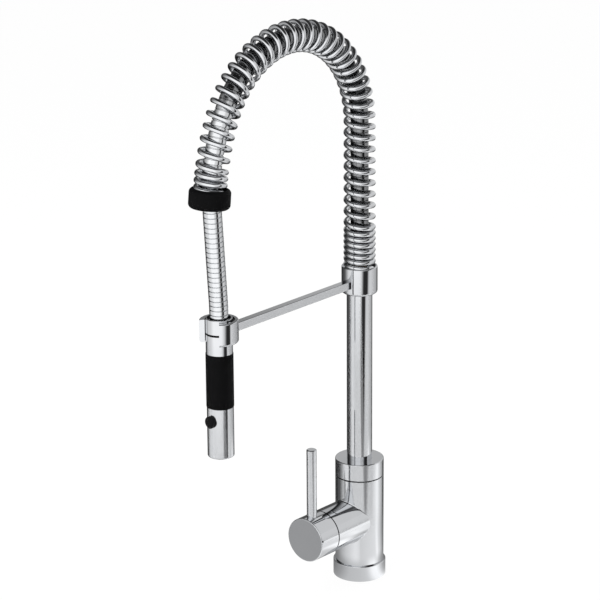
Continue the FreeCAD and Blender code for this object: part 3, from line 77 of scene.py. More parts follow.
to_viewer = Vector((sin(VIEW_AZIMUTH), -cos(VIEW_AZIMUTH), 0.0))
view_right = Vector((cos(VIEW_AZIMUTH), sin(VIEW_AZIMUTH), 0.0))
view_back = to_viewer * cos(VIEW_PITCH) + Vector((0, 0, sin(VIEW_PITCH)))
view_up = view_back.cross(view_right)
bpy.ops.object.select_all(action="DESELECT")
bpy.ops.object.camera_add()
camera = bpy.context.object
camera.name = "product_camera"
camera.data.lens = LENS
camera.data.sensor_width = SENSOR
camera.data.clip_end = SIGHT
level_view = Matrix((view_right, view_up, view_back)).transposed().to_4x4()
rolled_view = level_view @ Matrix.Rotation(-VIEW_ROLL, 4, "Z")
camera.matrix_world = Matrix.Translation(VIEW_FROM) @ rolled_view
bpy.context.scene.camera = camera
bpy.context.scene.view_settings.view_transform = "Standard"
print("camera is", round(VIEW_FROM.length, 3), "m from the base")

# %% [markdown]
# ## Colours and nodes
# Colours are written as sRGB hex values, as a colour picker shows them, and one function turns them into the
# linear values that shaders work in. The greys of the studio are brightnesses, which are linear already.
# Another small function adds a node with its settings and its links, so that each finish reads as a list of
# what feeds what.

# %% Colours and nodes
MIX_FIRST, MIX_SECOND, MIX_RESULT = 6, 7, 2     # the sockets of a Mix node that mixes colours


def linear(hex_colour):
    channels = [int(hex_colour[i:i + 2], 16) / 255 for i in (1, 3, 5)]
    values = [c / 12.92 if c <= 0.04045 else ((c + 0.055) / 1.055) ** 2.4 for c in channels]
    return (*values, 1.0)


def grey(brightness):
    return (brightness, brightness, brightness, 1.0)


def add_node(tree, kind, settings=(), inputs=()):
    node = tree.nodes.new(kind)
    for name, value in dict(settings).items():
        setattr(node, name, value)
    for name, value in dict(inputs).items():
        if isinstance(value, bpy.types.NodeSocket):
            tree.links.new(value, node.inputs[name])
        else:
            node.inputs[name].default_value = value
    return node


def empty_material(name):
    material = bpy.data.materials.new(name)
    material.use_nodes = True
    material.node_tree.nodes.clear()
    return material


print("white is", linear("#ffffff"), "and mid grey is", linear("#808080"))

# %% [markdown]
# ## Studio
# Polished chrome has no colour of its own: it shows the room. A studio for chrome is mostly white at the
# height of the lens, with dark edges behind the object, so that each round piece gets a dark outline on its
# far sides, and a dark ceiling, which draws a dark line along the top of every wire and rim. Upright tubes
# mirror what is below the lens and level faces mirror the back wall, so the two are shaded apart. The room's
# shades go round the compass: a direction is turned into an angle from the camera and sent through a ramp.
# Only mirror rays see these shades. Camera rays see plain white, and the soft light is an even white.

# %% Shades round the compass
def shade_round(tree, direction, shades):
    faced = add_node(tree, "ShaderNodeMapping", {"vector_type": "VECTOR"}, {
        "Vector": direction, "Rotation": (0, 0, -VIEW_AZIMUTH),
    }).outputs["Vector"]
    parts = add_node(tree, "ShaderNodeSeparateXYZ", inputs={"Vector": faced}).outputs
    towards = add_node(tree, "ShaderNodeMath", {"operation": "MULTIPLY"}, {0: parts["Y"], 1: -1.0})
    angle = add_node(tree, "ShaderNodeMath", {"operation": "ARCTAN2"}, {
        0: parts["X"], 1: towards.outputs[0],
    })
    compass = add_node(tree, "ShaderNodeMapRange", inputs={
        "Value": angle.outputs[0], "From Min": -pi, "From Max": pi,
    })
    ramp = add_node(tree, "ShaderNodeValToRGB", inputs={"Fac": compass.outputs["Result"]})
    stops = ramp.color_ramp.elements
    while len(stops) < len(shades):
        stops.new(0.5)
    for stop, (degrees_right, brightness) in zip(stops, shades):
        stop.position = (degrees_right + 180) / 360
        stop.color = grey(brightness)
    print("shades round the compass", len(shades))
    return ramp.outputs["Color"]


# %% Walls
LOW_SHADES = [          # degrees to the right of the camera, brightness below the lens
    (-180, 0.10), (-160, 0.08), (-138, 0.25), (-120, 0.85), (-108, 0.98), (-74, 1.05), (-63, 1.15),
    (-45, 0.96), (10, 0.96), (60, 0.90), (68, 0.98), (76, 1.00), (89, 0.89), (108, 0.73), (128, 0.57),
    (136, 0.48), (141, 0.10), (165, 0.08), (180, 0.10),
]
HIGH_SHADES = [         # the same above the lens
    (-180, 0.10), (-140, 0.12), (-105, 0.40), (-80, 0.75), (-60, 1.1), (0, 1.05), (60, 1.0), (100, 0.95),
    (130, 0.80), (155, 0.20), (180, 0.10),
]
world = bpy.data.worlds.new("studio")
bpy.context.scene.world = world
world.use_nodes = True
room = world.node_tree
room.nodes.clear()
direction = add_node(room, "ShaderNodeTexCoord").outputs["Generated"]
low_wall = shade_round(room, direction, LOW_SHADES)
high_wall = shade_round(room, direction, HIGH_SHADES)

# %% Horizon, ceiling and the ground straight below
HORIZON = (-8, 8)           # degrees above level where the high walls start to show, and show fully
CEILING = (32, 48)          # the same for the ceiling
GROUND = (-68, -84)         # and for the ground, downwards
CEILING_SHADE = 0.04
GROUND_SHADE = 0.10
rise = add_node(room, "ShaderNodeSeparateXYZ", inputs={"Vector": direction}).outputs["Z"]
room_shade = low_wall
for (start, full), shade in [
    (HORIZON, high_wall), (CEILING, grey(CEILING_SHADE)), (GROUND, grey(GROUND_SHADE)),
]:
    share = add_node(room, "ShaderNodeMapRange", {"interpolation_type": "SMOOTHSTEP"}, {
        "Value": rise, "From Min": sin(radians(start)), "From Max": sin(radians(full)),
    })
    room_shade = add_node(room, "ShaderNodeMix", {"data_type": "RGBA"}, {
        "Factor": share.outputs["Result"], MIX_FIRST: room_shade, MIX_SECOND: shade,
    }).outputs[MIX_RESULT]
print("ceiling shade", CEILING_SHADE, "ground shade", GROUND_SHADE)

# %% Background and soft light
SOFT_LIGHT = 0.62
mirror_room = add_node(room, "ShaderNodeBackground", inputs={"Color": room_shade})
even_light = add_node(room, "ShaderNodeBackground", inputs={"Strength": SOFT_LIGHT, "Color": grey(1)})
white = add_node(room, "ShaderNodeBackground", inputs={"Color": grey(1)})
rays = add_node(room, "ShaderNodeLightPath").outputs
lit_room = add_node(room, "ShaderNodeMixShader", inputs={
    0: rays["Is Glossy Ray"], 1: even_light.outputs[0], 2: mirror_room.outputs[0],
})
clear_view = add_node(room, "ShaderNodeMath", {"operation": "MAXIMUM"}, {
    0: rays["Is Camera Ray"], 1: rays["Is Transmission Ray"],
})
whole_room = add_node(room, "ShaderNodeMixShader", inputs={
    0: clear_view.outputs[0], 1: lit_room.outputs[0], 2: white.outputs[0],
})
add_node(room, "ShaderNodeOutputWorld", inputs={"Surface": whole_room.outputs[0]})
print("soft light strength", SOFT_LIGHT)

# %% [markdown]
# The lamps are large soft boxes: the key on the left, a weaker fill on the right and one overhead. They are
# hidden from mirror rays, because the walls and the cards below already draw their reflections.

# %% Lamps
LAMP_TARGET = Vector((0, -0.1, 0.3))    # the middle of the faucet, in metres


def soft_box(name, degrees_right, rise_deg, distance, size, power):
    turn = VIEW_AZIMUTH + radians(degrees_right)
    rise = radians(rise_deg)
    outward = Vector((sin(turn) * cos(rise), -cos(turn) * cos(rise), sin(rise)))
    bpy.ops.object.select_all(action="DESELECT")
    bpy.ops.object.light_add(type="AREA", location=LAMP_TARGET + outward * distance)
    lamp = bpy.context.object
    lamp.name = name
    lamp.rotation_euler = outward.to_track_quat("Z", "Y").to_euler()
    lamp.data.size = size
    lamp.data.energy = power
    lamp.visible_glossy = False
    return lamp


lamps = [
    soft_box("key_box", degrees_right=-50, rise_deg=40, distance=1.8, size=1.2, power=20),
    soft_box("fill_box", degrees_right=70, rise_deg=30, distance=2.0, size=1.2, power=8),
    soft_box("top_box", degrees_right=160, rise_deg=75, distance=1.6, size=1.0, power=10),
]
print("lamps", [lamp.name for lamp in lamps])

# %% [markdown]
# ## Floor
# The floor is a white sheet. Camera rays see it almost white, with a little of its real shading left in, so
# that the shadow under the base stays. Mirror rays pass it by, because a floor that bright would wash out
# the dark edges of the body.

# %% Floor
FLOOR_SIZE = 12             # metres
FLOOR_DEPTH = 0.2 * MM      # below the base, so that the papers fit between them
FLOOR_SHADING = 0.06        # share of the real shading that is left in
FLOOR_GLOW = 1.012          # brightness of the rest, just over white to make up for that share
bpy.ops.object.select_all(action="DESELECT")
bpy.ops.mesh.primitive_plane_add(size=FLOOR_SIZE, location=(0, 0, -FLOOR_DEPTH))
floor = bpy.context.object
floor.name = "floor"
floor.visible_glossy = False
paper = empty_material("white_paper_sweep")
sheet = paper.node_tree
shaded = add_node(sheet, "ShaderNodeBsdfDiffuse", inputs={"Color": linear("#f6f6f6")})
glow = add_node(sheet, "ShaderNodeEmission", inputs={"Color": grey(1), "Strength": FLOOR_GLOW})
rays = add_node(sheet, "ShaderNodeLightPath").outputs
share = add_node(sheet, "ShaderNodeMath", {"operation": "MULTIPLY"}, {
    0: rays["Is Camera Ray"], 1: 1 - FLOOR_SHADING,
})
paper_look = add_node(sheet, "ShaderNodeMixShader", inputs={
    0: share.outputs[0], 1: shaded.outputs[0], 2: glow.outputs[0],
})
add_node(sheet, "ShaderNodeOutputMaterial", inputs={"Surface": paper_look.outputs[0]})
floor.data.materials.append(paper)
print("floor at", floor.location.z)

# %% [markdown]
# ## Papers and cards
# What the chrome mirrors close by is made of papers on the floor and upright cards. They are planes that
# mirror rays alone see, so they throw no shadow and don't show themselves. Each one glows in its shade, black
# for a dark card, and fades to clear where its edge would draw a hard line in the chrome.

# %% Planes for mirror rays alone
def mirror_only(stage_piece, cloth):
    stage_piece.visible_camera = False
    stage_piece.visible_diffuse = False
    stage_piece.visible_shadow = False
    stage_piece.visible_transmission = False
    stage_piece.data.materials.append(empty_material(cloth))
    return stage_piece.active_material.node_tree


def faded_card(stage_piece, colour, cover):
    tree = stage_piece.active_material.node_tree
    clear = add_node(tree, "ShaderNodeBsdfTransparent")
    glow = add_node(tree, "ShaderNodeEmission", inputs={"Color": colour})
    look = add_node(tree, "ShaderNodeMixShader", inputs={
        0: cover, 1: clear.outputs[0], 2: glow.outputs[0],
    })
    add_node(tree, "ShaderNodeOutputMaterial", inputs={"Surface": look.outputs[0]})
    print(stage_piece.name, "is at", stage_piece.location)


# %% [markdown]
# ### Papers
# Upright tubes look down at the floor near them. A small paper round the base is for the base ring, and a
# wider one for the body, each with its own shades round the compass. A bright paper on the right lifts that
# side of the body, as a lamp's pool of light on a table does, and a narrow grey one on the left greys the
# flat front of the handle. They lie hundredths of a millimetre apart, so it is plain which one is on top.

# %% Shades of the papers
RING_SHADES = [             # degrees to the right of the camera, brightness
    (-180, 0.25), (-130, 0.25), (-105, 0.33), (-85, 0.44), (-66, 0.54), (-35, 0.82), (0, 0.88), (15, 0.94),
    (23, 1.02), (30, 1.18), (37, 1.38), (44, 1.55), (60, 1.62), (70, 1.38), (80, 1.0), (92, 0.70), (105, 0.5),
    (140, 0.3), (180, 0.25),
]
DRUM_SHADES = [
    (-180, 0.25), (-130, 0.30), (-105, 0.40), (-81, 0.70), (-59, 0.95), (-39, 1.10), (-21, 1.25), (-13, 1.25),
    (-2, 1.15), (4, 1.0), (21, 1.05), (39, 1.10), (59, 1.16), (70, 1.20), (81, 1.5), (94, 1.16), (110, 0.80),
    (126, 0.40), (140, 0.20), (180, 0.20),
]
BRIGHT_SHADES = [
    (-180, 1.3), (75, 1.3), (84, 1.45), (94, 1.4), (105, 1.0), (122, 0.72), (140, 0.20), (180, 0.20),
]
GREY_SHADES = [(-180, 0.50), (180, 0.50)]
PAPER_SIZE = 1.4            # metres
print("brightest paper", max(brightness for turn, brightness in RING_SHADES + DRUM_SHADES + BRIGHT_SHADES))


# %% Papers on the floor
def floor_paper(name, shades, full_r, faded_r, depth, right=0, toward=0, narrowing=1):
    bpy.ops.object.select_all(action="DESELECT")
    bpy.ops.mesh.primitive_plane_add(size=PAPER_SIZE, location=(0, 0, -depth))
    sheet = bpy.context.object
    sheet.name = name
    tree = mirror_only(sheet, name)
    spot = add_node(tree, "ShaderNodeTexCoord").outputs["Object"]
    faced = add_node(tree, "ShaderNodeMapping", {"vector_type": "TEXTURE"}, {
        "Vector": spot, "Rotation": (0, 0, VIEW_AZIMUTH), "Scale": (1, 1 / narrowing, 1),
        "Location": view_right * right + to_viewer * toward,
    })
    off_middle = add_node(tree, "ShaderNodeVectorMath", {"operation": "LENGTH"}, {
        0: faced.outputs["Vector"],
    })
    cover = add_node(tree, "ShaderNodeMapRange", {"interpolation_type": "SMOOTHSTEP"}, {
        "Value": off_middle.outputs["Value"], "From Min": full_r, "From Max": faded_r,
        "To Min": 1.0, "To Max": 0.0,
    })
    faded_card(sheet, shade_round(tree, spot, shades), cover.outputs["Result"])


floor_paper("ring_paper", RING_SHADES, full_r=0.055, faded_r=0.085, depth=0.10 * MM)
floor_paper("drum_paper", DRUM_SHADES, full_r=0.12, faded_r=0.22, depth=0.12 * MM)
floor_paper(
    "bright_paper", BRIGHT_SHADES, full_r=0.07, faded_r=0.18, depth=0.14 * MM, right=0.25, toward=-0.03,
)
floor_paper(
    "grey_paper", GREY_SHADES, full_r=0.07, faded_r=0.115, depth=0.08 * MM, right=-0.205, toward=0.077,
    narrowing=3.2,
)

# %% [markdown]
# ### Upright cards
# A card stands at an angle from the camera and a distance from the faucet, and may lean. It starts as a plane
# of one metre, which is then scaled, so its material counts from -0.5 to 0.5 across it and up it.

# %% Upright cards
CARD_EDGE = 0.5     # across or up a card, counted from its middle


def upright_card(name, cloth, degrees_right, distance, height, width, length, aside=0, lean_deg=0):
    turn = VIEW_AZIMUTH + radians(degrees_right)
    across = Vector((cos(turn), sin(turn), 0))
    outward = Vector((sin(turn), -cos(turn), 0))
    bpy.ops.object.select_all(action="DESELECT")
    bpy.ops.mesh.primitive_plane_add(size=1)
    card = bpy.context.object
    card.name = name
    facing = Matrix((across, Vector((0, 0, 1)), outward)).transposed().to_4x4()
    leaning = facing @ Matrix.Rotation(-radians(lean_deg), 4, "Z")
    place = Matrix.Translation(outward * distance + across * aside + Vector((0, 0, height)))
    card.matrix_world = place @ leaning @ Matrix.Diagonal((width, length, 1, 1))
    tree = mirror_only(card, cloth)
    spot = add_node(tree, "ShaderNodeTexCoord").outputs["Object"]
    return card, tree, add_node(tree, "ShaderNodeSeparateXYZ", inputs={"Vector": spot}).outputs


def faded_sides(tree, across, core):
    off_middle = add_node(tree, "ShaderNodeMath", {"operation": "ABSOLUTE"}, {0: across})
    return add_node(tree, "ShaderNodeMapRange", {"interpolation_type": "SMOOTHSTEP"}, {
        "Value": off_middle.outputs[0], "From Min": core, "From Max": CARD_EDGE, "To Min": 1.0, "To Max": 0.0,
    }).outputs["Result"]


# %% [markdown]
# ### Soft box card
# The higher a piece stands, the brighter it is at the front: the collar, the hose and the spring mirror a
# large soft box that hangs to the left of the lens, and the body is too low to see it. The card stands for
# that soft box in the chrome. It fades out at its foot and its sides, as a soft box's cloth does.

# %% Soft box card
BOX_SHADE = 1.45
BOX_CORE = 0.2                          # of its width, to each side of the middle, where it is brightest
BOX_HEIGHT, BOX_LENGTH = 0.40, 0.80     # metres, of its middle and of its side
BOX_FOOT, BOX_FULL = 0.01, 0.17         # metres above the floor where it starts to show and shows fully
soft_card, cloth, spot = upright_card(
    "soft_box_card", "soft_box_cloth", degrees_right=-22, distance=0.55, height=BOX_HEIGHT, width=0.95,
    length=BOX_LENGTH,
)
foot_fade = add_node(cloth, "ShaderNodeMapRange", inputs={
    "Value": spot["Y"], "From Min": (BOX_FOOT - BOX_HEIGHT) / BOX_LENGTH,
    "From Max": (BOX_FULL - BOX_HEIGHT) / BOX_LENGTH,
})
box_cover = add_node(cloth, "ShaderNodeMath", {"operation": "MULTIPLY"}, {
    0: faded_sides(cloth, spot["X"], BOX_CORE), 1: foot_fade.outputs["Result"],
})
faded_card(soft_card, grey(BOX_SHADE), box_cover.outputs[0])

# %% [markdown]
# ### Dark flag
# Photographers stand a strip of black card beside the lens, so that bright metal gets a dark line that shows
# its roundness. It fades to clear towards both long edges and towards its foot, so that the line is nearly
# black on the collar and the spray, grey on the column and the body, and gone at the base. The card leans to
# the right, as its line does in the chrome.

# %% Dark flag
FLAG_LENGTH = 3.0           # metres
FLAG_CORE = 0.18            # of its width, to each side of the middle, where it is darkest
FLAG_FOOT = -0.17           # metres up the card from its middle, where it starts to show
FLAG_GREY = -0.10           # where it is grey
FLAG_BLACK = 0.06           # and where it is black, having darkened again from the middle up
GREY_COVER = 0.62           # of the light that it takes where it is grey
BLACK_COVER = 0.34          # and what is added where it is black
flag, cloth, spot = upright_card(
    "dark_flag", "black_card", degrees_right=26, distance=0.557, height=0, width=0.46, length=FLAG_LENGTH,
    lean_deg=42,
)
foot_fade = add_node(cloth, "ShaderNodeMapRange", inputs={
    "Value": spot["Y"], "From Min": FLAG_FOOT / FLAG_LENGTH, "From Max": FLAG_GREY / FLAG_LENGTH,
    "To Max": GREY_COVER,
})
top_fade = add_node(cloth, "ShaderNodeMapRange", inputs={
    "Value": spot["Y"], "From Max": FLAG_BLACK / FLAG_LENGTH, "To Max": BLACK_COVER,
})
both_fades = add_node(cloth, "ShaderNodeMath", {"operation": "ADD"}, {
    0: foot_fade.outputs["Result"], 1: top_fade.outputs["Result"],
})
flag_cover = add_node(cloth, "ShaderNodeMath", {"operation": "MULTIPLY"}, {
    0: faded_sides(cloth, spot["X"], FLAG_CORE), 1: both_fades.outputs[0],
})
faded_card(flag, grey(0), flag_cover.outputs[0])

# %% [markdown]
# ### Dark card on the left
# A second dark card stands behind the faucet on its left. It is near, so each piece sees its edge from
# another side: the spray, which hangs in front, gets a narrower dark outline than the column does.

# %% Dark card on the left
SIDE_COVER = 0.86           # of the light that it takes where it is darkest
SIDE_DARK = -0.05           # across the card, where that starts
side_card, cloth, spot = upright_card(
    "side_card", "side_black_card", degrees_right=-128, distance=0.28, height=0.10, width=0.45, length=0.90,
    aside=0.14,
)
side_cover = add_node(cloth, "ShaderNodeMapRange", inputs={
    "Value": spot["X"], "From Min": CARD_EDGE, "From Max": SIDE_DARK, "To Max": SIDE_COVER,
})
faded_card(side_card, grey(0), side_cover.outputs["Result"])

# %% [markdown]
# ### Grey panel behind
# A grey panel hangs high behind the faucet and greys the level faces that look up at it. The rim of the base
# is too low to see the panel and stays dark.

# %% Grey panel behind
PANEL_SHADE = 0.62
PANEL_CORE = 0.18           # of its height, above and below the middle, where it shows fully
panel, cloth, spot = upright_card(
    "back_panel", "grey_cloth", degrees_right=180, distance=0.60, height=0.42, width=1.4, length=0.40,
)
faded_card(panel, grey(PANEL_SHADE), faded_sides(cloth, spot["Y"], PANEL_CORE))

# %% [markdown]
# ### White card for the handle
# The round top of the handle looks up to the right, past the wall. A white card hangs there, high enough that
# the column and the collar, which look down, don't see it.

# %% White card for the handle
HANDLE_CARD_SHADE = 0.90
HANDLE_CARD_FULL = -0.3     # up the card, where it shows fully
handle_card, cloth, spot = upright_card(
    "handle_card", "white_cloth", degrees_right=125, distance=0.42, height=0.46, width=0.75, length=0.44,
)
handle_cover = add_node(cloth, "ShaderNodeMapRange", {"interpolation_type": "SMOOTHSTEP"}, {
    "Value": spot["Y"], "From Min": -CARD_EDGE, "From Max": HANDLE_CARD_FULL,
})
faded_card(handle_card, grey(HANDLE_CARD_SHADE), handle_cover.outputs["Result"])

# %% [markdown]
# ## Finishes
# A finish is never one flat value. Every one here starts from a base colour and typical metallic and
# roughness values, then gets a slow drift in roughness, as hands, polishing wheels and moulds leave it, and a
# fine grain that catches the light. The helper takes both pattern sizes in millimetres.

# %% Helper for a finish
NOISE_LOW, NOISE_HIGH = 0.3, 0.7    # most of a noise lies between these
finishes = {}


def make_finish(slot, name, colour, worn_colour, metallic, roughness, drift_mm, grain_mm, grain_depth_mm):
    material = empty_material(name)
    tree = material.node_tree
    place = add_node(tree, "ShaderNodeTexCoord").outputs["Object"]
    drift = add_node(tree, "ShaderNodeTexNoise", inputs={
        "Vector": place, "Scale": 1 / (drift_mm * MM), "Detail": 3.0, "Roughness": 0.55,
    }).outputs["Fac"]
    grain = add_node(tree, "ShaderNodeTexNoise", inputs={
        "Vector": place, "Scale": 1 / (grain_mm * MM), "Detail": 2.0,
    }).outputs["Fac"]
    tint = add_node(tree, "ShaderNodeMix", {"data_type": "RGBA"}, {
        "Factor": drift, MIX_FIRST: linear(colour), MIX_SECOND: linear(worn_colour),
    }).outputs[MIX_RESULT]
    rough = add_node(tree, "ShaderNodeMapRange", inputs={
        "Value": drift, "From Min": NOISE_LOW, "From Max": NOISE_HIGH,
        "To Min": roughness[0], "To Max": roughness[1],
    }).outputs["Result"]
    relief = add_node(tree, "ShaderNodeBump", inputs={
        "Height": grain, "Distance": grain_depth_mm * MM, "Strength": 1.0,
    }).outputs["Normal"]
    shader = add_node(tree, "ShaderNodeBsdfPrincipled", inputs={
        "Base Color": tint, "Metallic": metallic, "Roughness": rough, "Normal": relief,
    })
    add_node(tree, "ShaderNodeOutputMaterial", inputs={"Surface": shader.outputs[0]})
    finishes[slot] = material
    print("finish", name, "roughness", roughness)
    return shader


# %% [markdown]
# Chrome plating is laid on polished brass. It mirrors almost everything, a little darker and cooler than
# silver, and only a faint polishing haze breaks the reflections.

# %% Chrome plating
make_finish(
    "polished_chrome", "chrome_plated_brass", "#cdced0", "#c6c8cb", metallic=1.0, roughness=(0.03, 0.07),
    drift_mm=18, grain_mm=2.5, grain_depth_mm=0.0006,
)
make_finish(
    "spring_chrome", "chrome_plated_spring_wire", "#d2d3d5", "#c7c9cc", metallic=1.0, roughness=(0.03, 0.06),
    drift_mm=9, grain_mm=1.2, grain_depth_mm=0.0010,
)

# %% [markdown]
# The hose is wound from bright stainless strip. Rolling leaves it less mirror-like than plating, with fine
# streaks, so its roughness is higher and its drift shorter. Inside the bend and the far leg the coils keep
# the light off the hose, and that shade is painted into its colour. So the hose in the spring has a finish of
# its own with painted shade, which is darker there than at the near leg, and the free drop keeps the bright
# one.

# %% Stainless strip
# Painted shade: the strip's colour is darkened inside the bend and the far leg, where the coils shade the
# hose.
PAINTED_SHADE_SHARE = 0.33       # of the brightness that is left where the coils rub
PAINTED_SHADE_LINE = (0, -1, -0.6)                   # forward and down, towards the near leg
FULL_SHADE_FROM, NO_SHADE_FROM = -0.140, -0.106     # metres along that line where it is dull, and bright again
STRIP_LOOK = {
    "colour": "#d8d9db", "worn_colour": "#c9cbcd", "metallic": 1.0, "roughness": (0.06, 0.10),
    "drift_mm": 4, "grain_mm": 0.6, "grain_depth_mm": 0.0012,
}
make_finish("hose_metal", "stainless_wound_strip", **STRIP_LOOK)
strip = make_finish("painted_shade_hose_metal", "stainless_strip_painted_shade", **STRIP_LOOK)
strip_tree = finishes["painted_shade_hose_metal"].node_tree
strip_tint = strip.inputs["Base Color"].links[0].from_socket
# The painted shade scales the colour down along the line and fades out towards the near leg.
spot = add_node(strip_tree, "ShaderNodeTexCoord").outputs["Object"]
along = add_node(strip_tree, "ShaderNodeVectorMath", {"operation": "DOT_PRODUCT"}, {
    0: spot, 1: PAINTED_SHADE_LINE,
})
kept = add_node(strip_tree, "ShaderNodeMapRange", {"interpolation_type": "SMOOTHSTEP"}, {
    "Value": along.outputs["Value"], "From Min": FULL_SHADE_FROM, "From Max": NO_SHADE_FROM,
    "To Min": PAINTED_SHADE_SHARE, "To Max": 1.0,
})
shaded_tint = add_node(strip_tree, "ShaderNodeVectorMath", {"operation": "SCALE"}, {
    0: strip_tint, "Scale": kept.outputs["Result"],
})
strip_tree.links.new(shaded_tint.outputs["Vector"], strip.inputs["Base Color"])
print("hose in the spring is painted_darker to", PAINTED_SHADE_SHARE)

# %% [markdown]
# Rubber and nylon parts come from steel moulds with a fine spark-eroded texture. They are nearly black and
# reflect little, so their specular level is low. The texture of about 0.2 mm is drawn coarser to show.

# %% Black rubber and nylon
rubber = make_finish(
    "black_rubber", "moulded_black_rubber", "#060607", "#0b0b0c", metallic=0.0, roughness=(0.48, 0.62),
    drift_mm=7, grain_mm=0.7, grain_depth_mm=0.02,
)
rubber.inputs["Specular IOR Level"].default_value = 0.05
nylon = make_finish(
    "black_nylon", "moulded_black_nylon", "#08080a", "#101012", metallic=0.0, roughness=(0.36, 0.48),
    drift_mm=8, grain_mm=0.7, grain_depth_mm=0.012,
)
nylon.inputs["Specular IOR Level"].default_value = 0.08

# %% [markdown]
# The pieces inside the cartridge and the spray are acetal, ceramic, brass and steel. They show only through
# gaps, yet each one still has its own colour and grain. The small index mark on the handle is dark enamel.

# %% Inner materials
INNER_LOOKS = [     # slot, name, colours, metallic, roughness, then drift, grain and its depth in millimetres
    ("white_acetal", "moulded_white_acetal", "#e6e5df", "#d9d8d1", 0.0, (0.35, 0.50), 9, 0.8, 0.010),
    ("grey_acetal", "moulded_grey_acetal", "#8f9092", "#7d7e80", 0.0, (0.38, 0.52), 6, 0.7, 0.012),
    ("ceramic", "lapped_alumina", "#ece9e1", "#e2dfd6", 0.0, (0.18, 0.28), 5, 0.5, 0.003),
    ("brass", "turned_brass", "#c9a460", "#b18d4c", 1.0, (0.18, 0.32), 6, 0.6, 0.006),
    ("steel", "stainless_screw_steel", "#a9abad", "#94969a", 1.0, (0.20, 0.34), 4, 0.5, 0.006),
    ("index_enamel", "dark_index_enamel", "#2b2c2f", "#222326", 0.0, (0.20, 0.30), 3, 0.4, 0.003),
]
for look in INNER_LOOKS:
    make_finish(*look)

# %% Give each solid piece its finish
dressed = 0
for subpart in frame["record"]["subparts"]:
    for material_slot in frame["nodes"][subpart["node"]].material_slots:
        material_slot.material = finishes[subpart["material_slot"]]
        dressed += 1
print("dressed", dressed, "material slots")

# %% [markdown]
# ## Routes of the spring and the hose
# Both follow the same line: straight up out of the collar, round an arch, then down a slightly flatter leg.
# A line like this is a list of stretches, each a length and the turn over it. Points on it come from the
# formula for a circle, so any number of points can be taken without storing one.

# %% Route sizes
collar_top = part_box("upper_collar")[1].z
reach = -(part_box("spray_shell_upper")[0].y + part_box("spray_shell_upper")[1].y) / 2
ARCH_EXTRA_SPAN = 0.4 * MM      # the arch's width beyond the reach
ARCH_R = (reach + ARCH_EXTRA_SPAN) / 2
ARCH_RISE = 242.4 * MM          # the arch's top above the collar, on the centre line
ARCH_TURN = 155.0               # degrees
LEG_R = 200 * MM
LEG_TURN = 19.0                 # degrees of the flatter leg that follows
arch_start = collar_top + ARCH_RISE - ARCH_R
print("arch of radius", round(ARCH_R, 4), "starts at height", round(arch_start, 4))


# %% Points along a route
def arc_of(radius, turn):
    return (radius * abs(radians(turn)), turn)


def route_length(route):
    return sum(length for length, turn in route["stretches"])


def route_point(route, distance):
    forward, z, heading = route["start"]
    for length, turn in route["stretches"]:
        step = min(distance, length)
        bend = radians(turn) * step / length
        if turn:
            radius = length / radians(turn)
            forward += radius * (sin(heading + bend) - sin(heading))
            z -= radius * (cos(heading + bend) - cos(heading))
        else:
            forward += step * cos(heading)
            z += step * sin(heading)
        heading += bend
        distance -= step
        if distance <= 0:
            break
    return forward, z, heading


def route_place(route, distance):
    forward, z, heading = route_point(route, distance)
    return Vector((0, -forward, z)), Vector((0, -cos(heading), sin(heading)))


# %% [markdown]
# ## Spring
# The spring is one wire, wound left-handed: seven close turns above the collar, thirty-eight open turns over
# the arch and three closer ones at the black ring. A Screw modifier on a circle could wind it and a Curve
# modifier could bend it, but bending would flatten the wire's round section. So the wire's own middle line is
# worked out turn by turn and given a round bevel, which keeps the section true everywhere.

# %% Spring line
WIRE_D = 5 * MM
SPRING_SEAT_DEPTH = 3 * MM
TIGHT_TURNS, TIGHT_GAP = 7, 0.72 * MM
OPEN_TURNS = 38
END_TURNS, END_GAP = 3, 1.2 * MM
TAIL_BEND_R = 5 * MM
LEFT_HAND, RIGHT_HAND = -1, 1
POINTS_PER_TURN = 36

spring_low, spring_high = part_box("arch_spring")
spring_mean_r = (spring_high.x - spring_low.x - WIRE_D) / 2
spring_foot = collar_top - SPRING_SEAT_DEPTH + WIRE_D / 2
spring_route = {
    "start": (0.0, spring_foot, pi / 2),
    "stretches": [(arch_start - spring_foot, 0.0), arc_of(ARCH_R, -ARCH_TURN), arc_of(LEG_R, -LEG_TURN)],
}
tight_length = TIGHT_TURNS * (WIRE_D + TIGHT_GAP)
end_length = END_TURNS * (WIRE_D + END_GAP)
open_length = route_length(spring_route) - tight_length - end_length
windings = [(TIGHT_TURNS, tight_length), (OPEN_TURNS, open_length), (END_TURNS, end_length)]
print("spring line", round(route_length(spring_route), 4), "m, mean radius", round(spring_mean_r, 5))


# %% Points along a winding
def wound_points(route, mean_r, hand, windings):
    points = []
    travelled = 0.0
    wound = 0
    for turns, length in windings:
        steps = turns * POINTS_PER_TURN
        for i in range(steps + 1):
            if points and i == 0:
                continue
            middle, along = route_place(route, travelled + length * i / steps)
            side = Vector((1, 0, 0))
            phase = hand * 2 * pi * (wound + turns * i / steps)
            points.append(middle + mean_r * (side * cos(phase) + along.cross(side) * sin(phase)))
        travelled += length
        wound += turns
    return points


# %% [markdown]
# Each end of the wire bends out of its last turn and runs straight into a pocket, in the collar and in the
# ring. That keeps the spring from turning on the real faucet, and it hides the cut ends.

# %% Spring tails
TAIL_STEPS = 8


def tail_points(end, before, outward, bend_r, straight):
    way = (end - before).normalized()
    turn = way.angle(outward)
    inward = (outward - way * way.dot(outward)).normalized()
    points = []
    for i in range(1, TAIL_STEPS + 1):
        bend = turn * i / TAIL_STEPS
        points.append(end + bend_r * (way * sin(bend) + inward * (1 - cos(bend))))
    points.append(points[-1] + outward * straight)
    return points


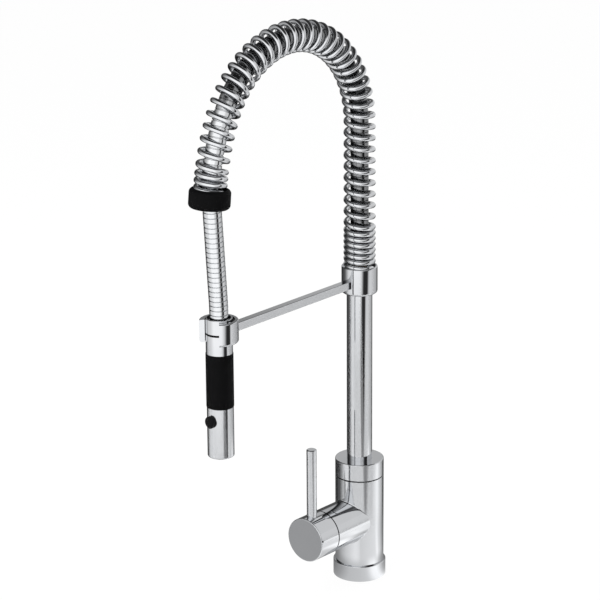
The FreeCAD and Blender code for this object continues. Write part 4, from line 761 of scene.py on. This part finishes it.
turns = wound_points(spring_route, spring_mean_r, LEFT_HAND, windings)
foot_tail = tail_points(turns[0], turns[1], Vector((0, 0, -1)), TAIL_BEND_R, WIRE_D)
ring_axis = route_place(spring_route, route_length(spring_route))[1]
head_tail = tail_points(turns[-1], turns[-2], ring_axis, TAIL_BEND_R, WIRE_D)
print("spring has", len(turns), "points and", len(foot_tail) + len(head_tail), "in its tails")

# %% Spring wire
WIRE_ROUNDING = 6       # bevel steps, which give the wire sixteen sides


def round_wire(name, points, diameter):
    line = bpy.data.curves.new(name, "CURVE")
    line.dimensions = "3D"
    line.twist_mode = "MINIMUM"
    line.bevel_depth = diameter / 2
    line.bevel_resolution = WIRE_ROUNDING
    line.use_fill_caps = True
    spline = line.splines.new("POLY")
    spline.points.add(len(points) - 1)
    for point, place in zip(spline.points, points):
        point.co = (*place, 1.0)
    wire = bpy.data.objects.new(name, line)
    bpy.context.collection.objects.link(wire)
    bpy.ops.object.select_all(action="DESELECT")
    bpy.context.view_layer.objects.active = wire
    wire.select_set(True)
    bpy.ops.object.convert(target="MESH")
    bpy.ops.object.shade_smooth()
    wire = bpy.context.object
    print(name, "has", len(wire.data.polygons), "faces")
    return wire


coil_spring = round_wire("coil_spring", foot_tail[::-1] + turns + head_tail, WIRE_D)
coil_spring.data.materials.append(finishes["spring_chrome"])
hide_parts("arch_spring")
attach(coil_spring, "spout")

# %% [markdown]
# ## Ribbed hose
# The hose is a strip of stainless steel wound so that each turn hooks over the last. From outside that gives
# flat bright ribs with narrow grooves. One rib is modelled from a ring of points: it is pushed along and
# scaled, step by step, up the flank, over the flat top and down to the next groove. An Array makes the row of
# ribs, and a Curve modifier lays the row along the route. The bore runs through the same mesh, so the hose is
# a real tube with closed ends.

# %% Hose profile
hose_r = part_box("hose_arch")[1].x
BORE_R = 5 * MM
RIB_PITCH = 4.8 * MM
GROOVE_DEPTH = 1.0 * MM
HOSE_SIDES = 40
RIB_PROFILE = [         # share of the pitch, share of the groove's depth below the rib's top
    (0.05, 1.0), (0.08, 0.45), (0.11, 0.06), (0.125, 0.0), (0.15, 0.0),
    (0.865, 0.0), (0.885, 0.0), (0.90, 0.06), (0.93, 0.45), (0.96, 1.0), (1.0, 1.0),
]
print("hose radius", round(hose_r, 5), "rib pitch", RIB_PITCH)

# %% [markdown]
# The hose shares the arch with the spring, and leaves the leg inside the black ring. From there it leans
# back a few degrees, straight, and one bend over the spray turns it upright again. Where a straight line
# touches two equal circles that turn opposite ways, its lean follows from the distance between their middles.

# %% Hose routes
HOSE_LEG_TURN = 13.0            # degrees of the leg that the hose shares with the spring
HOSE_BEND_R = 100 * MM
END_STRAIGHT = 2 * hose_r       # at each end of the free drop
HOSE_FOOT_RISE = 4 * MM         # above the collar's top
hose_foot = collar_top + HOSE_FOOT_RISE
hose_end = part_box("hose_drop")[0].z


def leaning_run(start, foot_forward, foot_z):
    forward, z, heading = start
    across = foot_forward + HOSE_BEND_R - (forward + HOSE_BEND_R * sin(heading))
    rise = foot_z - (z - HOSE_BEND_R * cos(heading))
    apart = hypot(across, rise)
    lean = atan2(rise, across) - asin(2 * HOSE_BEND_R / apart)
    return [
        arc_of(HOSE_BEND_R, degrees(lean - heading)),
        (sqrt(apart ** 2 - (2 * HOSE_BEND_R) ** 2), 0.0),
        arc_of(HOSE_BEND_R, degrees(-pi / 2 - lean)),
    ]


arch_hose = {
    "start": (0.0, hose_foot, pi / 2),
    "stretches": [
        (arch_start - hose_foot, 0.0), arc_of(ARCH_R, -ARCH_TURN), arc_of(LEG_R, -HOSE_LEG_TURN),
    ],
}
leg_end = route_point(arch_hose, route_length(arch_hose))
ring_bend, lean_run, foot_bend = leaning_run(leg_end, reach, hose_end + END_STRAIGHT)
arch_hose["stretches"] += [ring_bend, (END_STRAIGHT, 0.0)]
hose_split = route_point(arch_hose, route_length(arch_hose))
drop_hose = {
    "start": hose_split,
    "stretches": [(lean_run[0] - END_STRAIGHT, 0.0), foot_bend, (END_STRAIGHT, 0.0)],
}
hose_join = route_place(drop_hose, 0.0)[0]
print("hose parts at", hose_join, "and leans by", round(degrees(hose_split[2]) + 90, 2), "degrees")


# %% Bezier line along a route
KNOT_TURN = 30      # a bend gets one knot for about this many degrees
LINE_STEPS = 48     # between two knots


def bezier_line(name, route):
    knots = [(*route_place(route, 0.0), 0.0)]
    travelled = 0.0
    for length, turn in route["stretches"]:
        count = max(1, round(abs(turn) / KNOT_TURN))
        for i in range(1, count + 1):
            step = length / count
            bend = radians(abs(turn)) / count
            handle = 4 / 3 * tan(bend / 4) * step / bend if turn else step / 3
            knots.append((*route_place(route, travelled + step * i), handle))
        travelled += length
    bpy.ops.object.select_all(action="DESELECT")
    bpy.ops.curve.primitive_bezier_curve_add()
    line = bpy.context.object
    line.name = name
    line.data.twist_mode = "MINIMUM"
    line.data.resolution_u = LINE_STEPS
    spline = line.data.splines[0]
    spline.bezier_points.add(len(knots) - len(spline.bezier_points))
    for i, knot in enumerate(spline.bezier_points):
        point, along, handle = knots[i]
        ahead = knots[i + 1][2] if i + 1 < len(knots) else handle
        knot.handle_left_type = "FREE"
        knot.handle_right_type = "FREE"
        knot.co = point
        knot.handle_left = point - along * handle
        knot.handle_right = point + along * ahead
    print(name, "length", round(spline.calc_length(), 5), "of", round(route_length(route), 5))
    return line


# %% One rib and its bore
def one_rib(name, pitch):
    groove_r = hose_r - GROOVE_DEPTH
    bpy.ops.object.select_all(action="DESELECT")
    bpy.ops.mesh.primitive_circle_add(vertices=HOSE_SIDES, radius=groove_r, rotation=(0, pi / 2, 0))
    tube = bpy.context.object
    tube.name = name
    bpy.ops.object.transform_apply(rotation=True)
    bpy.ops.object.mode_set(mode="EDIT")
    place, radius = 0.0, groove_r
    for share, depth in RIB_PROFILE:
        next_radius = hose_r - depth * GROOVE_DEPTH
        scale = next_radius / radius
        bpy.ops.mesh.extrude_region_move(TRANSFORM_OT_translate={"value": (share * pitch - place, 0, 0)})
        bpy.ops.transform.resize(value=(1, scale, scale), center_override=(0, 0, 0))
        place, radius = share * pitch, next_radius
    bpy.ops.mesh.select_all(action="DESELECT")
    bpy.ops.mesh.primitive_circle_add(vertices=HOSE_SIDES, radius=BORE_R, rotation=(0, pi / 2, 0))
    bpy.ops.mesh.extrude_region_move(TRANSFORM_OT_translate={"value": (pitch, 0, 0)})
    bpy.ops.object.mode_set(mode="OBJECT")
    return tube


# %% Row of ribs
TOUCHING = 0.01 * MM        # points nearer than this are one


def row_of_ribs(tube, ribs, pitch):
    row = tube.modifiers.new("row_of_ribs", "ARRAY")
    row.count = ribs
    row.use_relative_offset = False
    row.use_constant_offset = True
    row.constant_offset_displace = (pitch, 0, 0)
    row.use_merge_vertices = True
    row.merge_threshold = TOUCHING
    bpy.ops.object.modifier_apply(modifier=row.name)


# %% Closed ends
def select_loops(mesh, place):
    for edge in mesh.edges:
        ends_here = all(abs(vert.co.x - place) < TOUCHING for vert in edge.verts)
        edge.select = ends_here and edge.is_boundary


def close_ends(tube, length):
    bpy.ops.object.mode_set(mode="EDIT")
    bpy.ops.mesh.select_mode(type="EDGE")
    for end in (0.0, length):
        bpy.ops.mesh.select_all(action="DESELECT")
        mesh = bmesh.from_edit_mesh(tube.data)
        select_loops(mesh, end)
        bmesh.update_edit_mesh(tube.data)
        bpy.ops.mesh.bridge_edge_loops()
    bpy.ops.mesh.select_all(action="SELECT")
    bpy.ops.mesh.normals_make_consistent(inside=False)
    bpy.ops.object.mode_set(mode="OBJECT")


# %% Lay the ribs along a route
SHARP_ANGLE = radians(50)       # edges that bend more stay sharp


def laid_hose(name, route, finish):
    line = bezier_line(name + "_line", route)
    ribs = max(1, round(route_length(route) / RIB_PITCH))
    pitch = route_length(route) / ribs
    tube = one_rib(name, pitch)
    row_of_ribs(tube, ribs, pitch)
    close_ends(tube, ribs * pitch)
    bend = tube.modifiers.new("bend", "CURVE")
    bend.object = line
    bend.deform_axis = "POS_X"
    bpy.ops.object.modifier_apply(modifier=bend.name)
    bpy.ops.object.shade_smooth_by_angle(angle=SHARP_ANGLE)
    bpy.data.objects.remove(line)
    tube.data.materials.append(finishes[finish])
    heights = [vert.co.z for vert in tube.data.vertices]
    low, high = round(min(heights), 4), round(max(heights), 4)
    print(name, ribs, "ribs,", len(tube.data.polygons), "faces, z", low, "to", high)
    return tube


# %% [markdown]
# The hose in the spring is fixed to the spout. The free drop hangs between the spout and the spray.

# %% Hose in the spring and free drop
# This finish carries painted shade inside the bend and the far leg.
hose_in_spring = laid_hose("ribbed_hose_in_spring", arch_hose, "painted_shade_hose_metal")
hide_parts("hose_arch")
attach(hose_in_spring, "spout")
hose_to_spray = laid_hose("ribbed_hose_to_spray", drop_hose, "hose_metal")
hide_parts("hose_drop")
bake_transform(hose_to_spray)

# %% [markdown]
# ## Button spring
# A thin return spring stands behind the spray's button. It is wound by the same function as the large one,
# right-handed and straight, and it stands between the spray and the button.

# %% Button spring
BUTTON_WIRE_D = 0.7 * MM
BUTTON_TURNS = 4
low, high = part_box("button_spring")
button_length = high.y - low.y - BUTTON_WIRE_D
button_mean_r = (high.x - low.x - BUTTON_WIRE_D) / 2
button_z = (low.z + high.z) / 2
button_line = {
    "start": (-high.y + BUTTON_WIRE_D / 2, button_z, 0.0),
    "stretches": [(button_length, 0.0)],
}
small_turns = wound_points(button_line, button_mean_r, RIGHT_HAND, [(BUTTON_TURNS, button_length)])
button_coil = round_wire("button_return_coil", small_turns, BUTTON_WIRE_D)
button_coil.data.materials.append(finishes["steel"])
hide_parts("button_spring")
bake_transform(button_coil)
